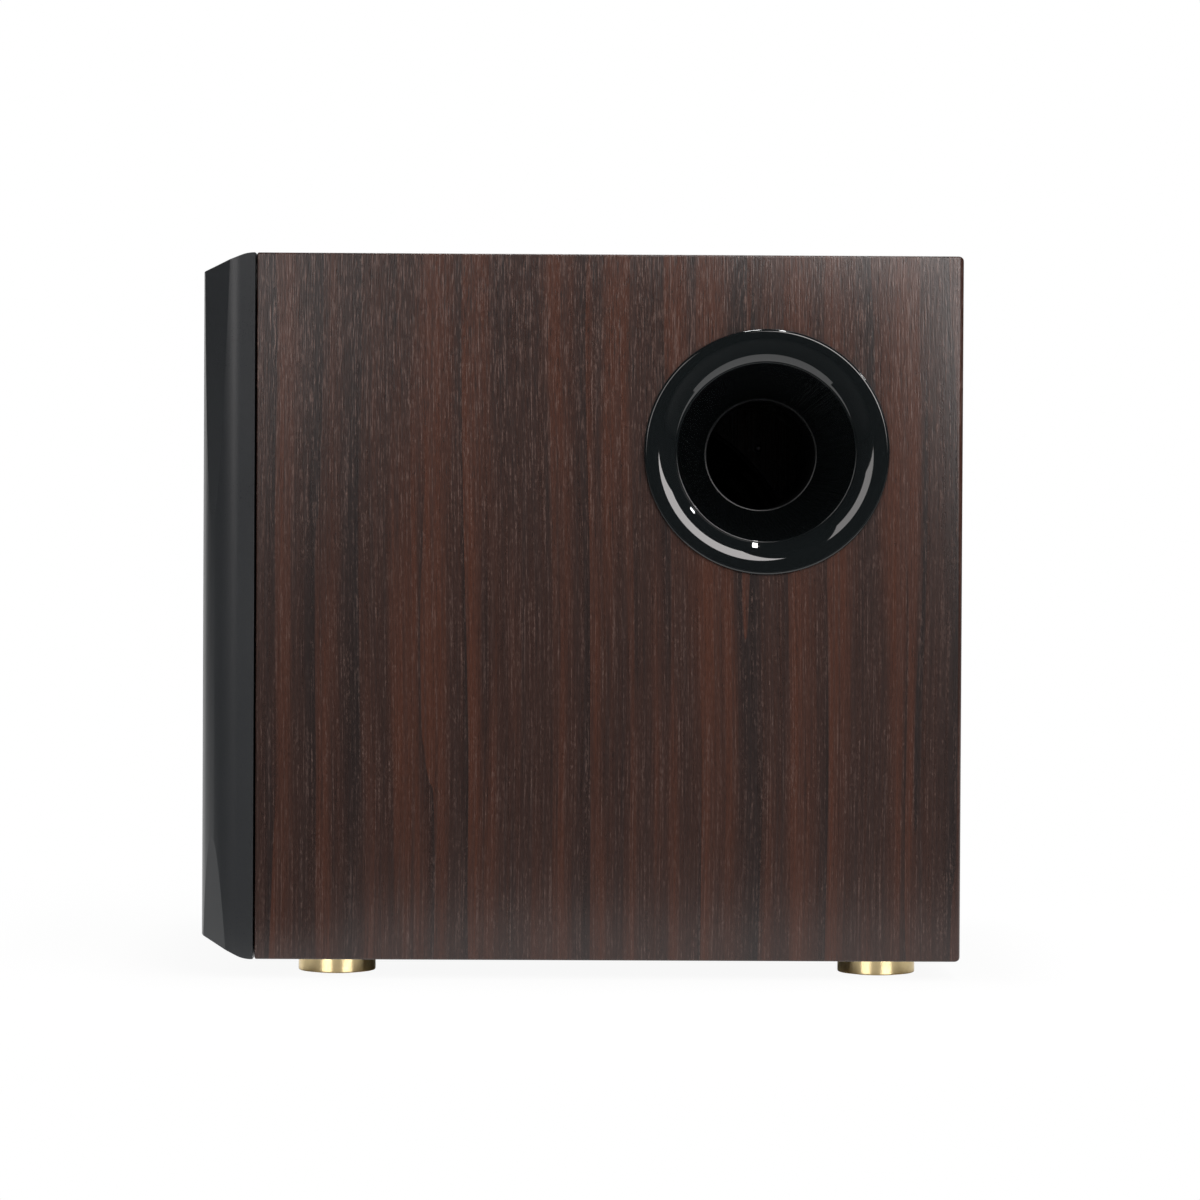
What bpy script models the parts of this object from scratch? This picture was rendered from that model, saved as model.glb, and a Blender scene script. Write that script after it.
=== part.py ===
"""A powered subwoofer with a wrapped board cabinet and a moulded front cover.

One side holds a flared port, the other an eight inch driver behind a domed grille, and the back an
amplifier plate with its controls and sockets. Lengths are metres, angles are degrees. +Z is up and
Z = 0 is the floor. -Y is the front, +X the port side and -X the driver side. The origin is under the
middle of the overall box.
"""

import math

import bmesh
import bpy
from mathutils import Matrix, Vector

# Fits
SEAT_GAP = 0.0003          # between pieces that rest on each other
SLIDE_GAP = 0.0003         # around pegs, studs, shafts and screws
MITRE_GAP = 0.0004         # left at each mitred corner of the cabinet
OVERLAP = 0.001            # how far joined shapes sink into each other

# Roundness: steps in a full turn, and along a curved section
PORT_STEPS = 40
DRIVER_STEPS = 28
MEDIUM_STEPS = 20
SMALL_STEPS = 12
SECTION_STEPS = 4

# Cabinet boards
CABINET_WIDTH = 0.236
CABINET_DEPTH = 0.285
CABINET_HEIGHT = 0.285
BOARD = 0.015
BAFFLE_BOARD = 0.015
BAFFLE_RECESS = 0.001
BACK_BOARD = 0.015
BACK_RECESS = 0.008
REAR_EDGE_RADIUS = 0.0022
PAD_MARGIN = 0.010         # bare baffle left round the damping pad
DAMPING_THICKNESS = 0.014

# Front cover
COVER_DEPTH = 0.0218
COVER_REVEAL = 0.0008
COVER_WALL = 0.003
COVER_CORNER_RADIUS = 0.016
COVER_CORNER_STEPS = 6
TOP_CHAMFER_RUN = 0.0188
TOP_CHAMFER_DROP = 0.0073
BASE_CHAMFER_RUN = 0.0180
BASE_CHAMFER_RISE = 0.0090
CHAMFER_EASE = 0.0004      # flattening of the ridge behind each chamfer
UPPER_FACET_LENGTH = 0.109
UPPER_FACET_TILT = 1.07
LOWER_FACET_LENGTH = 0.049
LOWER_FACET_TILT = 2.0
PEG_RADIUS = 0.004
PEG_REACH = 0.010
PEG_INSET = 0.032

# Feet
FOOT_RADIUS = 0.0158
FOOT_HEIGHT = 0.0068
FOOT_EDGE = 0.0006
FOOT_INSET = 0.0316
STUD_RADIUS = 0.003
STUD_LENGTH = 0.009
FOOT_PAD_RADIUS = 0.012
FOOT_PAD_THICKNESS = 0.0011
FOOT_PAD_PROUD = 0.0005

# Port
PORT_FROM_TOP = 0.0793
PORT_FROM_REAR = 0.0793
PORT_FLANGE_RADIUS = 0.0496
PORT_FLANGE_EDGE = 0.0013
PORT_LANDING = 0.0036      # width of the flange that lies on the board
PORT_LIP = 0.002
PORT_THROAT_RADIUS = 0.0367
PORT_MOUTH_DEPTH = 0.0044
PORT_MOUTH_CURVE = 2.6     # how late the mouth turns in
PORT_MOUTH_STEPS = 6
PORT_TAPER_LENGTH = 0.047
PORT_TUBE_RADIUS = 0.0226  # inside
PORT_LEDGE = 0.0007
PORT_WALL = 0.0025
PORT_SLEEVE = 0.010
PORT_LENGTH = 0.150

# Driver
DRIVER_FRAME_RADIUS = 0.1045
DRIVER_REBATE_DEPTH = 0.0055
DRIVER_FLANGE_WIDTH = 0.0115
DRIVER_GASKET_THICKNESS = 0.001
FRAME_METAL = 0.0016
FRAME_LEG_TOP = 0.0055     # depth of the legs' outer end below the flange
FRAME_SHELF_DEPTH = 0.040  # from the flange to the spider shelf
FRAME_SHELF_INNER = 0.045
FRAME_SHELF_WIDTH = 0.009
FRAME_SEAT_DEPTH = 0.049   # from the flange to the motor seat
FRAME_SEAT_INNER = 0.026
FRAME_WINDOWS = 6
FRAME_WINDOW_WIDTH = 0.040
TRIM_RING_EDGE = 0.00085   # left on each side of a screw head
TRIM_RING_THICKNESS = 0.0016
SURROUND_ROLL = 0.007
SURROUND_LIP = 0.006       # on the cone
SURROUND_LAND = 0.0065     # on the frame
SURROUND_THICKNESS = 0.0009
SURROUND_STEPS = 6
CONE_THICKNESS = 0.0009
CONE_RIM = 0.006
CONE_DEPTH = 0.029
CONE_CURVE = 1.25
DUST_CAP_RADIUS = 0.030
DUST_CAP_RISE = 0.009
COIL_RADIUS = 0.0195       # outside of the former
FORMER_WALL = 0.0005
FORMER_TAIL = 0.0015       # former left bare below the winding
WINDING_THICKNESS = 0.0008
WINDING_LENGTH = 0.016
COIL_CLEARANCE = 0.0006
SPIDER_THICKNESS = 0.0008
SPIDER_WAVES = 3
SPIDER_WAVE_HEIGHT = 0.0016
SPIDER_COLLAR = 0.004
TOP_PLATE_RADIUS = 0.045
TOP_PLATE_THICKNESS = 0.006
MAGNET_RADIUS = 0.050
MAGNET_INNER_RADIUS = 0.025
MAGNET_THICKNESS = 0.018
YOKE_THICKNESS = 0.006
VENT_RADIUS = 0.006
TERMINAL_SIZE = (0.018, 0.012, 0.006)
TERMINAL_TAB = (0.0048, 0.010, 0.0008)
TERMINAL_SPACING = 0.009

# Grille
GRILLE_PROUD = 0.014
GRILLE_SHEET = 0.0012
GRILLE_MARGIN = 0.0015     # of the dome's foot beyond the driver's frame
GRILLE_RIM = 0.0033
GRILLE_DOME_POWER = 6
GRILLE_HOLE_PITCH = 0.0255
GRILLE_HOLE_ACROSS = 0.0215
GRILLE_PLAIN_EDGE = 0.004
GRILLE_FRAME_WIDTH = 0.0034
GRILLE_FRAME_HEIGHT = 0.0046
GRILLE_LIP = 0.0012

# Screws
SCREW_HEAD_RADIUS = 0.0037
SCREW_HEAD_HEIGHT = 0.0022
SCREW_HEAD_EDGE = 0.0010
SCREW_SHANK_RADIUS = 0.0019
SCREW_LENGTH = 0.016

# Amplifier plate, seen from behind: x to the right, y up, z out of the cabinet
AMP_SIDE_MARGIN = 0.013    # from the side boards
AMP_END_MARGIN = 0.0195    # from the top and bottom boards
AMP_LANDING = 0.014        # rim of the plate that lies on the back board
AMP_PLATE = 0.002
AMP_CORNER_RADIUS = 0.004
AMP_GASKET = 0.0012
AMP_SCREW_INSET = 0.006
HEAT_SINK_FROM_TOP = 0.036
HEAT_SINK_WIDTH = 0.124
HEAT_SINK_LENGTH = 0.044
HEAT_SINK_BASE = 0.0025
FIN_HEIGHT = 0.006
FIN_THICKNESS = 0.0016
FIN_PITCH = 0.0094
CONTROLS_FROM_TOP = 0.084
CROSSOVER_FROM_SIDE = 0.039
KNOB_RADIUS = 0.0085
KNOB_SKIRT_RADIUS = 0.0095
KNOB_SKIRT_HEIGHT = 0.0016
KNOB_HEIGHT = 0.012
KNOB_EDGE = 0.0008
KNOB_LIFT = 0.0008
SHAFT_RADIUS = 0.003
SHAFT_LENGTH = 0.011
POT_RADIUS = 0.008
POT_DEPTH = 0.012
POT_BUSH_RADIUS = 0.0045
SLIDER_STEM = (0.004, 0.004)
SLIDER_PROUD = 0.0025
SLIDER_BASE = (0.009, 0.005, 0.004)
SLIDER_TRAVEL = 0.004
SLIDER_CASE_WALL = 0.003
SWITCH_SIZE = (0.014, 0.019)
SWITCH_FLANGE = 0.0015
SWITCH_WALL = 0.0016
SWITCH_DEPTH = 0.016
SWITCH_WELL = 0.008
SWITCH_BEZEL = 0.002
ROCKER_END_GAP = 0.0009
ROCKER_END_HEIGHT = 0.0055
ROCKER_MID_HEIGHT = 0.0042
ROCKER_BELLY = 0.0012
ROCKER_PIVOT_DEPTH = 0.001
ROCKER_TILT = 12.0
TRUNNION_RADIUS = 0.0012
TRUNNION_LENGTH = 0.0006
INLET_FROM_SIDE = 0.042
INLET_FROM_BASE = 0.036
INLET_SIZE = (0.0274, 0.0196)
INLET_FLANGE = 0.0024
INLET_BEZEL = 0.0023
INLET_WALL = 0.0014
INLET_CORNER = 0.0050
INLET_DEPTH = 0.022
INLET_WELL = 0.0145
PIN_SIZE = (0.002, 0.004, 0.0125)
PIN_SPACING = 0.007
PIN_OFFSET = 0.002
JACKS_FROM_SIDE = 0.036
JACK_SPACING = 0.015
JACK_BLOCK = 0.032
JACK_BLOCK_DEPTH = 0.012
JACK_RADIUS = 0.0042
JACK_PROUD = 0.009
JACK_BORE_RADIUS = 0.0017
JACK_BORE_DEPTH = 0.012
CIRCUIT_ABOVE_CONTROLS = 0.025
CIRCUIT_MARGIN = 0.003     # from the sides of the opening behind the plate
CIRCUIT_CLEARANCE = 0.008  # above the transformer
CIRCUIT_THICKNESS = 0.0016
CAPACITOR_DROP = 0.006     # below the middle of the circuit board
CAPACITOR_SPACING = 0.030
CAPACITOR_RADIUS = 0.0125
CAPACITOR_LENGTH = 0.035
CAPACITOR_GROOVE = 0.0007
TRANSFORMER_FROM_SIDE = 0.050
TRANSFORMER_FROM_BASE = 0.047
CORE_SIZE = (0.057, 0.048)
CORE_STACK = 0.024
CORE_LIMB = 0.019
CORE_WINDOW = (0.0095, 0.0285)
CORE_FOOT = 0.004
LEAD_RADIUS = 0.002
LEAD_POINTS = 15
LEAD_PULL = 0.6            # how far each end runs straight on, as a share of the span

# The overall box and the planes of the cabinet
AMP_FACE_LIFT = SEAT_GAP + AMP_GASKET + SEAT_GAP + AMP_PLATE - BACK_RECESS
KNOB_PROUD = AMP_FACE_LIFT + KNOB_LIFT + KNOB_HEIGHT
OVERALL_WIDTH = GRILLE_PROUD + CABINET_WIDTH + PORT_LIP
OVERALL_DEPTH = COVER_DEPTH + COVER_REVEAL + CABINET_DEPTH + KNOB_PROUD
LEFT_FACE = GRILLE_PROUD - OVERALL_WIDTH / 2
RIGHT_FACE = LEFT_FACE + CABINET_WIDTH
COVER_FACE = -OVERALL_DEPTH / 2
FRONT_EDGE = COVER_FACE + COVER_DEPTH + COVER_REVEAL
REAR_EDGE = FRONT_EDGE + CABINET_DEPTH
BASE = FOOT_PAD_PROUD + FOOT_HEIGHT + SEAT_GAP
TOP = BASE + CABINET_HEIGHT
MIDDLE = Vector(((LEFT_FACE + RIGHT_FACE) / 2, (FRONT_EDGE + REAR_EDGE) / 2, (BASE + TOP) / 2))
INNER_WIDTH = CABINET_WIDTH - 2 * BOARD
INNER_HEIGHT = CABINET_HEIGHT - 2 * BOARD

# Radii about the driver's axis, and heights along it from the face of its board
GASKET_TOP = -DRIVER_REBATE_DEPTH + SEAT_GAP + DRIVER_GASKET_THICKNESS
FLANGE_BACK = GASKET_TOP + SEAT_GAP
FLANGE_FRONT = FLANGE_BACK + FRAME_METAL
SEAT_PLANE = FLANGE_FRONT + SEAT_GAP
MOTOR_FACE = FLANGE_BACK - FRAME_SEAT_DEPTH - SEAT_GAP
MAGNET_FACE = MOTOR_FACE - TOP_PLATE_THICKNESS - SEAT_GAP
YOKE_FACE = MAGNET_FACE - MAGNET_THICKNESS - SEAT_GAP
YOKE_BACK = YOKE_FACE - YOKE_THICKNESS
COIL_MIDDLE = MOTOR_FACE - TOP_PLATE_THICKNESS / 2
SHELF_FRONT = FLANGE_BACK - FRAME_SHELF_DEPTH + FRAME_METAL
SHELF_OUTER = FRAME_SHELF_INNER + FRAME_SHELF_WIDTH
DRIVER_HOLE_RADIUS = DRIVER_FRAME_RADIUS - DRIVER_FLANGE_WIDTH
TRIM_RING_WIDTH = 2 * (SCREW_HEAD_RADIUS + SLIDE_GAP + TRIM_RING_EDGE)
SCREW_CIRCLE = DRIVER_FRAME_RADIUS - TRIM_RING_WIDTH / 2
SURROUND_OUTER = DRIVER_FRAME_RADIUS - TRIM_RING_WIDTH - SEAT_GAP
SURROUND_CENTRE = SURROUND_OUTER - SURROUND_LAND - SURROUND_ROLL
GRILLE_DOME_RADIUS = DRIVER_FRAME_RADIUS + GRILLE_MARGIN
CONE_OUTER = SURROUND_CENTRE - SURROUND_ROLL
CONE_RIM_INNER = CONE_OUTER - CONE_RIM
CONE_FRONT = SEAT_PLANE - SEAT_GAP
CONE_NECK = COIL_RADIUS + SEAT_GAP + CONE_THICKNESS / 2

# Depths along the amplifier's axis, measured out from the plate's outer face
PLATE_BACK = -AMP_PLATE - SEAT_GAP
CIRCUIT_FACE = PLATE_BACK - POT_DEPTH - SEAT_GAP
AMP_WIDTH = INNER_WIDTH - 2 * AMP_SIDE_MARGIN
AMP_HEIGHT = INNER_HEIGHT - 2 * AMP_END_MARGIN
AMP_OPENING = (AMP_WIDTH - 2 * AMP_LANDING, AMP_HEIGHT - 2 * AMP_LANDING)
AMP_SCREWS = [(side * (AMP_WIDTH / 2 - AMP_SCREW_INSET), end * (AMP_HEIGHT / 2 - AMP_SCREW_INSET))
              for end in (1, -1) for side in (1, -1)]

# Places on the amplifier plate: the phase switch and the level knob share out the row between the jacks
# and the crossover knob, and the power switch stands midway between the transformer and the inlet
CONTROL_ROW = AMP_HEIGHT / 2 - CONTROLS_FROM_TOP
JACKS_AT = (JACKS_FROM_SIDE - AMP_WIDTH / 2, CONTROL_ROW)
CROSSOVER_KNOB_AT = (AMP_WIDTH / 2 - CROSSOVER_FROM_SIDE, CONTROL_ROW)
CONTROL_SPACING = (CROSSOVER_KNOB_AT[0] - JACKS_AT[0]) / 3
PHASE_SWITCH_AT = (JACKS_AT[0] + CONTROL_SPACING, CONTROL_ROW)
LEVEL_KNOB_AT = (CROSSOVER_KNOB_AT[0] - CONTROL_SPACING, CONTROL_ROW)
HEAT_SINK_AT = (0, AMP_HEIGHT / 2 - HEAT_SINK_FROM_TOP)
INLET_AT = (AMP_WIDTH / 2 - INLET_FROM_SIDE, INLET_FROM_BASE - AMP_HEIGHT / 2)
TRANSFORMER_AT = (TRANSFORMER_FROM_SIDE - AMP_WIDTH / 2, TRANSFORMER_FROM_BASE - AMP_HEIGHT / 2)
POWER_SWITCH_AT = ((TRANSFORMER_AT[0] + CORE_SIZE[0] / 2 + INLET_AT[0] - INLET_SIZE[0] / 2) / 2, INLET_AT[1])
CIRCUIT_TOP = CONTROL_ROW + CIRCUIT_ABOVE_CONTROLS
CIRCUIT_BASE = TRANSFORMER_AT[1] + CORE_SIZE[1] / 2 + CIRCUIT_CLEARANCE
CIRCUIT_SIZE = (AMP_OPENING[0] - 2 * CIRCUIT_MARGIN, CIRCUIT_TOP - CIRCUIT_BASE, CIRCUIT_THICKNESS)
CIRCUIT_AT = (0, (CIRCUIT_TOP + CIRCUIT_BASE) / 2)
CAPACITOR_AT = [(step * CAPACITOR_SPACING, CIRCUIT_AT[1] - CAPACITOR_DROP) for step in (-1, 0)]

# Turns that point an object's own Z out of a face
OUT_RIGHT = (0, math.pi / 2, 0)
OUT_LEFT = (0, -math.pi / 2, 0)
OUT_BACK = (math.pi / 2, 0, math.pi)
OUT_FRONT = (math.pi / 2, 0, 0)
OUT_DOWN = (0, math.pi, 0)
UPRIGHT = (0, 0, 0)

PARTS_COLLECTION = "subwoofer"
CUTTERS_COLLECTION = "subwoofer_cutters"


def clear_scene():
    """Removes every object, and the two collections of an earlier run."""
    for obj in list(bpy.data.objects):
        bpy.data.objects.remove(obj, do_unlink=True)
    for name in (PARTS_COLLECTION, CUTTERS_COLLECTION):
        if name in bpy.data.collections:
            bpy.data.collections.remove(bpy.data.collections[name])
        bpy.context.scene.collection.children.link(bpy.data.collections.new(name))


def finish(name, colour, roughness, metallic=0.0):
    """A plain Principled material."""
    material = bpy.data.materials.new(name)
    material.use_nodes = True
    shader = material.node_tree.nodes["Principled BSDF"]
    shader.inputs["Base Color"].default_value = (*colour, 1.0)
    shader.inputs["Roughness"].default_value = roughness
    shader.inputs["Metallic"].default_value = metallic
    return material


def vinyl(name):
    return finish(name, (0.047, 0.024, 0.018), 0.42)


def raw_board(name):
    return finish(name, (0.30, 0.19, 0.10), 0.85)


def black_plastic(name):
    return finish(name, (0.022, 0.023, 0.025), 0.48)


def gloss_black(name):
    return finish(name, (0.006, 0.006, 0.007), 0.10)


def black_metal(name):
    return finish(name, (0.018, 0.018, 0.019), 0.45, 0.6)


def bare_steel(name):
    return finish(name, (0.45, 0.45, 0.46), 0.35, 1.0)


def gold_metal(name):
    return finish(name, (0.60, 0.42, 0.18), 0.28, 1.0)


def rubber(name):
    return finish(name, (0.014, 0.014, 0.015), 0.75)


def frame_empty(name, location, rotation):
    """An empty that carries a group of pieces in its own frame."""
    empty = bpy.data.objects.new(name, None)
    empty.empty_display_size = 0.02
    empty.location = location
    empty.rotation_euler = rotation
    bpy.data.collections[PARTS_COLLECTION].objects.link(empty)
    return empty


def place(name, mesh, material=None, parent=None, location=(0, 0, 0), rotation=UPRIGHT):
    """Puts a mesh in the scene as a part, or as a hidden helper where it has no material."""
    obj = bpy.data.objects.new(name, mesh)
    obj.parent = parent
    obj.location = location
    obj.rotation_euler = rotation
    if material:
        mesh.materials.append(material)
        bpy.data.collections[PARTS_COLLECTION].objects.link(obj)
    else:
        obj.hide_render = True
        obj.display_type = "WIRE"
        bpy.data.collections[CUTTERS_COLLECTION].objects.link(obj)
    return obj


def mesh_from(name, bm):
    bmesh.ops.recalc_face_normals(bm, faces=bm.faces)
    mesh = bpy.data.meshes.new(name)
    bm.to_mesh(mesh)
    bm.free()
    return mesh


def block(name, size, material=None, parent=None, location=(0, 0, 0), rotation=UPRIGHT):
    """A box centred on its own origin."""
    bm = bmesh.new()
    bmesh.ops.create_cube(bm, size=1.0, matrix=Matrix.Diagonal((*size, 1.0)))
    return place(name, mesh_from(name, bm), material, parent, location, rotation)


def rod(name, radius, bottom, top, steps, material=None, parent=None, location=(0, 0, 0), rotation=UPRIGHT):
    """A round bar along its own Z, from bottom to top."""
    bm = bmesh.new()
    bmesh.ops.create_cone(
        bm, cap_ends=True, segments=steps, radius1=radius, radius2=radius, depth=top - bottom,
        matrix=Matrix.Translation((0, 0, (bottom + top) / 2)))
    mesh = mesh_from(name, bm)
    mesh.shade_smooth()
    mesh.set_sharp_from_angle(angle=math.radians(40))
    return place(name, mesh, material, parent, location, rotation)


def turned(name, profile, steps, material=None, parent=None, location=(0, 0, 0), rotation=UPRIGHT):
    """A profile of (radius, height) points turned about Z: a ring, or a solid where it ends on the axis."""
    bm = bmesh.new()
    points = [bm.verts.new((radius, 0, height)) for radius, height in profile]
    for start, end in zip(points, points[1:]):
        bm.edges.new((start, end))
    if profile[0][0] > 0:
        bm.edges.new((points[-1], points[0]))
    mesh = bpy.data.meshes.new(name)
    bm.to_mesh(mesh)
    bm.free()
    obj = place(name, mesh, material, parent, location, rotation)
    screw = obj.modifiers.new("turn", "SCREW")
    screw.axis = "Z"
    screw.steps = steps
    screw.render_steps = steps
    screw.use_merge_vertices = True
    screw.merge_threshold = 0.00001
    return obj


def ring(name, inner, outer, bottom, top, steps, material, parent):
    """A washer shape about the parent's Z."""
    profile = [(inner, top), (outer, top), (outer, bottom), (inner, bottom)]
    return turned(name, profile, steps, material, parent)


def flat_piece(name, loops, thickness, material=None, parent=None, location=(0, 0, 0), rotation=UPRIGHT):
    """A flat outline with holes, centred on its own Z = 0 and made a mesh so that it can be cut."""
    curve = bpy.data.curves.new(name, "CURVE")
    curve.dimensions = "2D"
    curve.fill_mode = "BOTH"
    curve.extrude = thickness / 2
    for loop in loops:
        spline = curve.splines.new("POLY")
        spline.points.add(len(loop) - 1)
        for point, (x, y) in zip(spline.points, loop):
            point.co = (x, y, 0, 1)
        spline.use_cyclic_u = True
    drawn = bpy.data.objects.new(name + "_outline", curve)
    bpy.context.scene.collection.objects.link(drawn)
    graph = bpy.context.evaluated_depsgraph_get()
    filled = bpy.data.meshes.new_from_object(drawn.evaluated_get(graph))
    bm = bmesh.new()
    bm.from_mesh(filled)
    bmesh.ops.remove_doubles(bm, verts=bm.verts, dist=0.000001)
    bpy.data.objects.remove(drawn)
    bpy.data.curves.remove(curve)
    bpy.data.meshes.remove(filled)
    return place(name, mesh_from(name, bm), material, parent, location, rotation)


def combine(part, helper, operation):
    boolean = part.modifiers.new(helper.name, "BOOLEAN")
    boolean.operation = operation
    boolean.solver = "EXACT"
    boolean.object = helper


def cut(part, *helpers):
    for helper in helpers:
        combine(part, helper, "DIFFERENCE")


def join(part, *helpers):
    for helper in helpers:
        combine(part, helper, "UNION")


def rectangle(width, height, centre=(0, 0)):
    x, y = centre
    return [(x + sx * width / 2, y + sy * height / 2) for sx, sy in ((-1, -1), (1, -1), (1, 1), (-1, 1))]


def circle(radius, centre=(0, 0), steps=SMALL_STEPS):
    return [(centre[0] + radius * math.cos(math.tau * k / steps),
             centre[1] + radius * math.sin(math.tau * k / steps)) for k in range(steps)]


def rounded_rectangle(width, height, radius, steps=4):
    points = []
    for quarter, (sx, sy) in enumerate(((1, 1), (-1, 1), (-1, -1), (1, -1))):
        for k in range(steps + 1):
            angle = math.pi / 2 * (quarter + k / steps)
            points.append((sx * (width / 2 - radius) + radius * math.cos(angle),
                           sy * (height / 2 - radius) + radius * math.sin(angle)))
    return points


def arc(centre, radii, start, end, steps):
    """Points of an ellipse in (radius, height), from one angle in degrees to another."""
    angles = [math.radians(start + (end - start) * k / steps) for k in range(steps + 1)]
    return [(centre[0] + radii[0] * math.cos(a), centre[1] + radii[1] * math.sin(a)) for a in angles]


def sheet(line, thickness):
    """The section of a sheet whose middle follows a line of (radius, height) points, inner end first."""
    points = [Vector(point) for point in line]
    ways = [(b - a).normalized() for a, b in zip(points, points[1:])]
    front, back = [], []
    for k, point in enumerate(points):
        before = ways[max(k - 1, 0)]
        after = ways[min(k, len(ways) - 1)]
        normal = Vector((-before.y - after.y, before.x + after.x)).normalized()
        reach = thickness / 2 / normal.dot(Vector((-after.y, after.x)))
        if point.x == 0:
            normal, reach = Vector((0, 1)), thickness / 2
        front.append(tuple(point + normal * reach))
        back.append(tuple(point - normal * reach))
    return front + back[::-1]


def mitred_board(name, length, location, rotation, material):
    """A cabinet board with its outer face at Z = 0 and both ends cut at 45 degrees."""
    bm = bmesh.new()
    bmesh.ops.create_cube(
        bm, size=1.0,
        matrix=Matrix.Translation((0, 0, -BOARD / 2)) @ Matrix.Diagonal((length, CABINET_DEPTH, BOARD, 1.0)))
    for vert in bm.verts:
        if vert.co.z < -BOARD / 2:
            vert.co.x -= math.copysign(BOARD, vert.co.x)
    rear = [edge for edge in bm.edges
            if all(v.co.z > -BOARD / 2 and v.co.y > 0 for v in edge.verts)]
    bmesh.ops.bevel(bm, geom=rear, offset=REAR_EDGE_RADIUS, segments=3, profile=0.5, affect="EDGES")
    return place(name, mesh_from(name, bm), material, None, location, rotation)


def make_cabinet():
    """Four mitred boards, with the baffle and the back board set between them."""
    upright = CABINET_HEIGHT - 2 * MITRE_GAP
    right = mitred_board("right_side_panel", upright, (RIGHT_FACE, MIDDLE.y, MIDDLE.z), OUT_RIGHT,
                         vinyl("right_side_vinyl"))
    left = mitred_board("left_side_panel", upright, (LEFT_FACE, MIDDLE.y, MIDDLE.z), OUT_LEFT,
                        vinyl("left_side_vinyl"))
    mitred_board("top_panel", CABINET_WIDTH, (MIDDLE.x, MIDDLE.y, TOP), UPRIGHT, vinyl("top_vinyl"))
    bottom = mitred_board("bottom_panel", CABINET_WIDTH, (MIDDLE.x, MIDDLE.y, BASE), OUT_DOWN,
                          vinyl("bottom_vinyl"))
    inner = (INNER_WIDTH - 2 * SEAT_GAP, INNER_HEIGHT - 2 * SEAT_GAP)
    baffle_y = FRONT_EDGE + BAFFLE_RECESS + BAFFLE_BOARD / 2
    baffle = block("front_baffle", (inner[0], BAFFLE_BOARD, inner[1]), raw_board("baffle_board"),
                   location=(MIDDLE.x, baffle_y, MIDDLE.z))
    back_y = REAR_EDGE - BACK_RECESS - BACK_BOARD / 2
    back = block("back_panel", (inner[0], BACK_BOARD, inner[1]), black_plastic("back_board"),
                 location=(MIDDLE.x, back_y, MIDDLE.z))
    pad_y = baffle_y + BAFFLE_BOARD / 2 + SEAT_GAP + DAMPING_THICKNESS / 2
    block("damping_pad", (inner[0] - 2 * PAD_MARGIN, DAMPING_THICKNESS, inner[1] - 2 * PAD_MARGIN),
          finish("damping_felt", (0.35, 0.34, 0.32), 0.95), location=(MIDDLE.x, pad_y, MIDDLE.z))
    return right, left, bottom, baffle, back


def cover_form(inset, rear):
    """The front cover's convex outer form, with every wall moved in by inset, and its rear plane."""
    face = COVER_FACE + inset
    left, right = LEFT_FACE + inset, RIGHT_FACE - inset
    radius = COVER_CORNER_RADIUS - inset
    centre_y = COVER_FACE + COVER_CORNER_RADIUS
    corners = [(RIGHT_FACE - COVER_CORNER_RADIUS, 1), (LEFT_FACE + COVER_CORNER_RADIUS, -1)]
    plan = [(left, rear), (right, rear)]
    for centre_x, side in corners:
        turns = range(COVER_CORNER_STEPS + 1)
        for k in turns if side > 0 else reversed(turns):
            angle = math.pi / 2 * k / COVER_CORNER_STEPS
            plan.append((centre_x + side * radius * math.cos(angle), centre_y - radius * math.sin(angle)))
    bm = bmesh.new()
    low, high = BASE + inset, TOP - inset
    outline = bm.faces.new([bm.verts.new((x, y, low)) for x, y in plan])
    extruded = bmesh.ops.extrude_face_region(bm, geom=[outline])
    raised = [item for item in extruded["geom"] if isinstance(item, bmesh.types.BMVert)]
    bmesh.ops.translate(bm, verts=raised, vec=(0, 0, high - low))

    ends = ((high, 1, TOP_CHAMFER_RUN, TOP_CHAMFER_DROP), (low, -1, BASE_CHAMFER_RUN, BASE_CHAMFER_RISE))
    for edge, up, run, drop in ends:
        slope = math.atan2(drop, run)
        slice_off(bm, (0, face, edge - up * drop), (0, -math.sin(slope), up * math.cos(slope)))
        slice_off(bm, (0, face + run, edge - up * CHAMFER_EASE),
                  (0, -math.sin(slope / 2), up * math.cos(slope / 2)))
    facets = ((TOP - UPPER_FACET_LENGTH, 1, UPPER_FACET_TILT),
              (BASE + LOWER_FACET_LENGTH, -1, LOWER_FACET_TILT))
    for height, up, tilt in facets:
        lean = math.radians(tilt)
        for centre_x, side in corners:
            out = Vector((side, -1, 0)).normalized()
            normal = out * math.cos(lean) + Vector((0, 0, up * math.sin(lean)))
            slice_off(bm, Vector((centre_x, centre_y, height)) + out * radius, normal)
    return bm


def slice_off(bm, point, normal):
    """Cuts a convex form at a plane, drops what lies on the normal's side and closes the cut."""
    cutting = bmesh.ops.bisect_plane(
        bm, geom=bm.verts[:] + bm.edges[:] + bm.faces[:], dist=0.0000001,
        plane_co=point, plane_no=normal, clear_outer=True)
    edges = [item for item in cutting["geom_cut"] if isinstance(item, bmesh.types.BMEdge)]
    bmesh.ops.contextual_create(bm, geom=edges)


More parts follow.
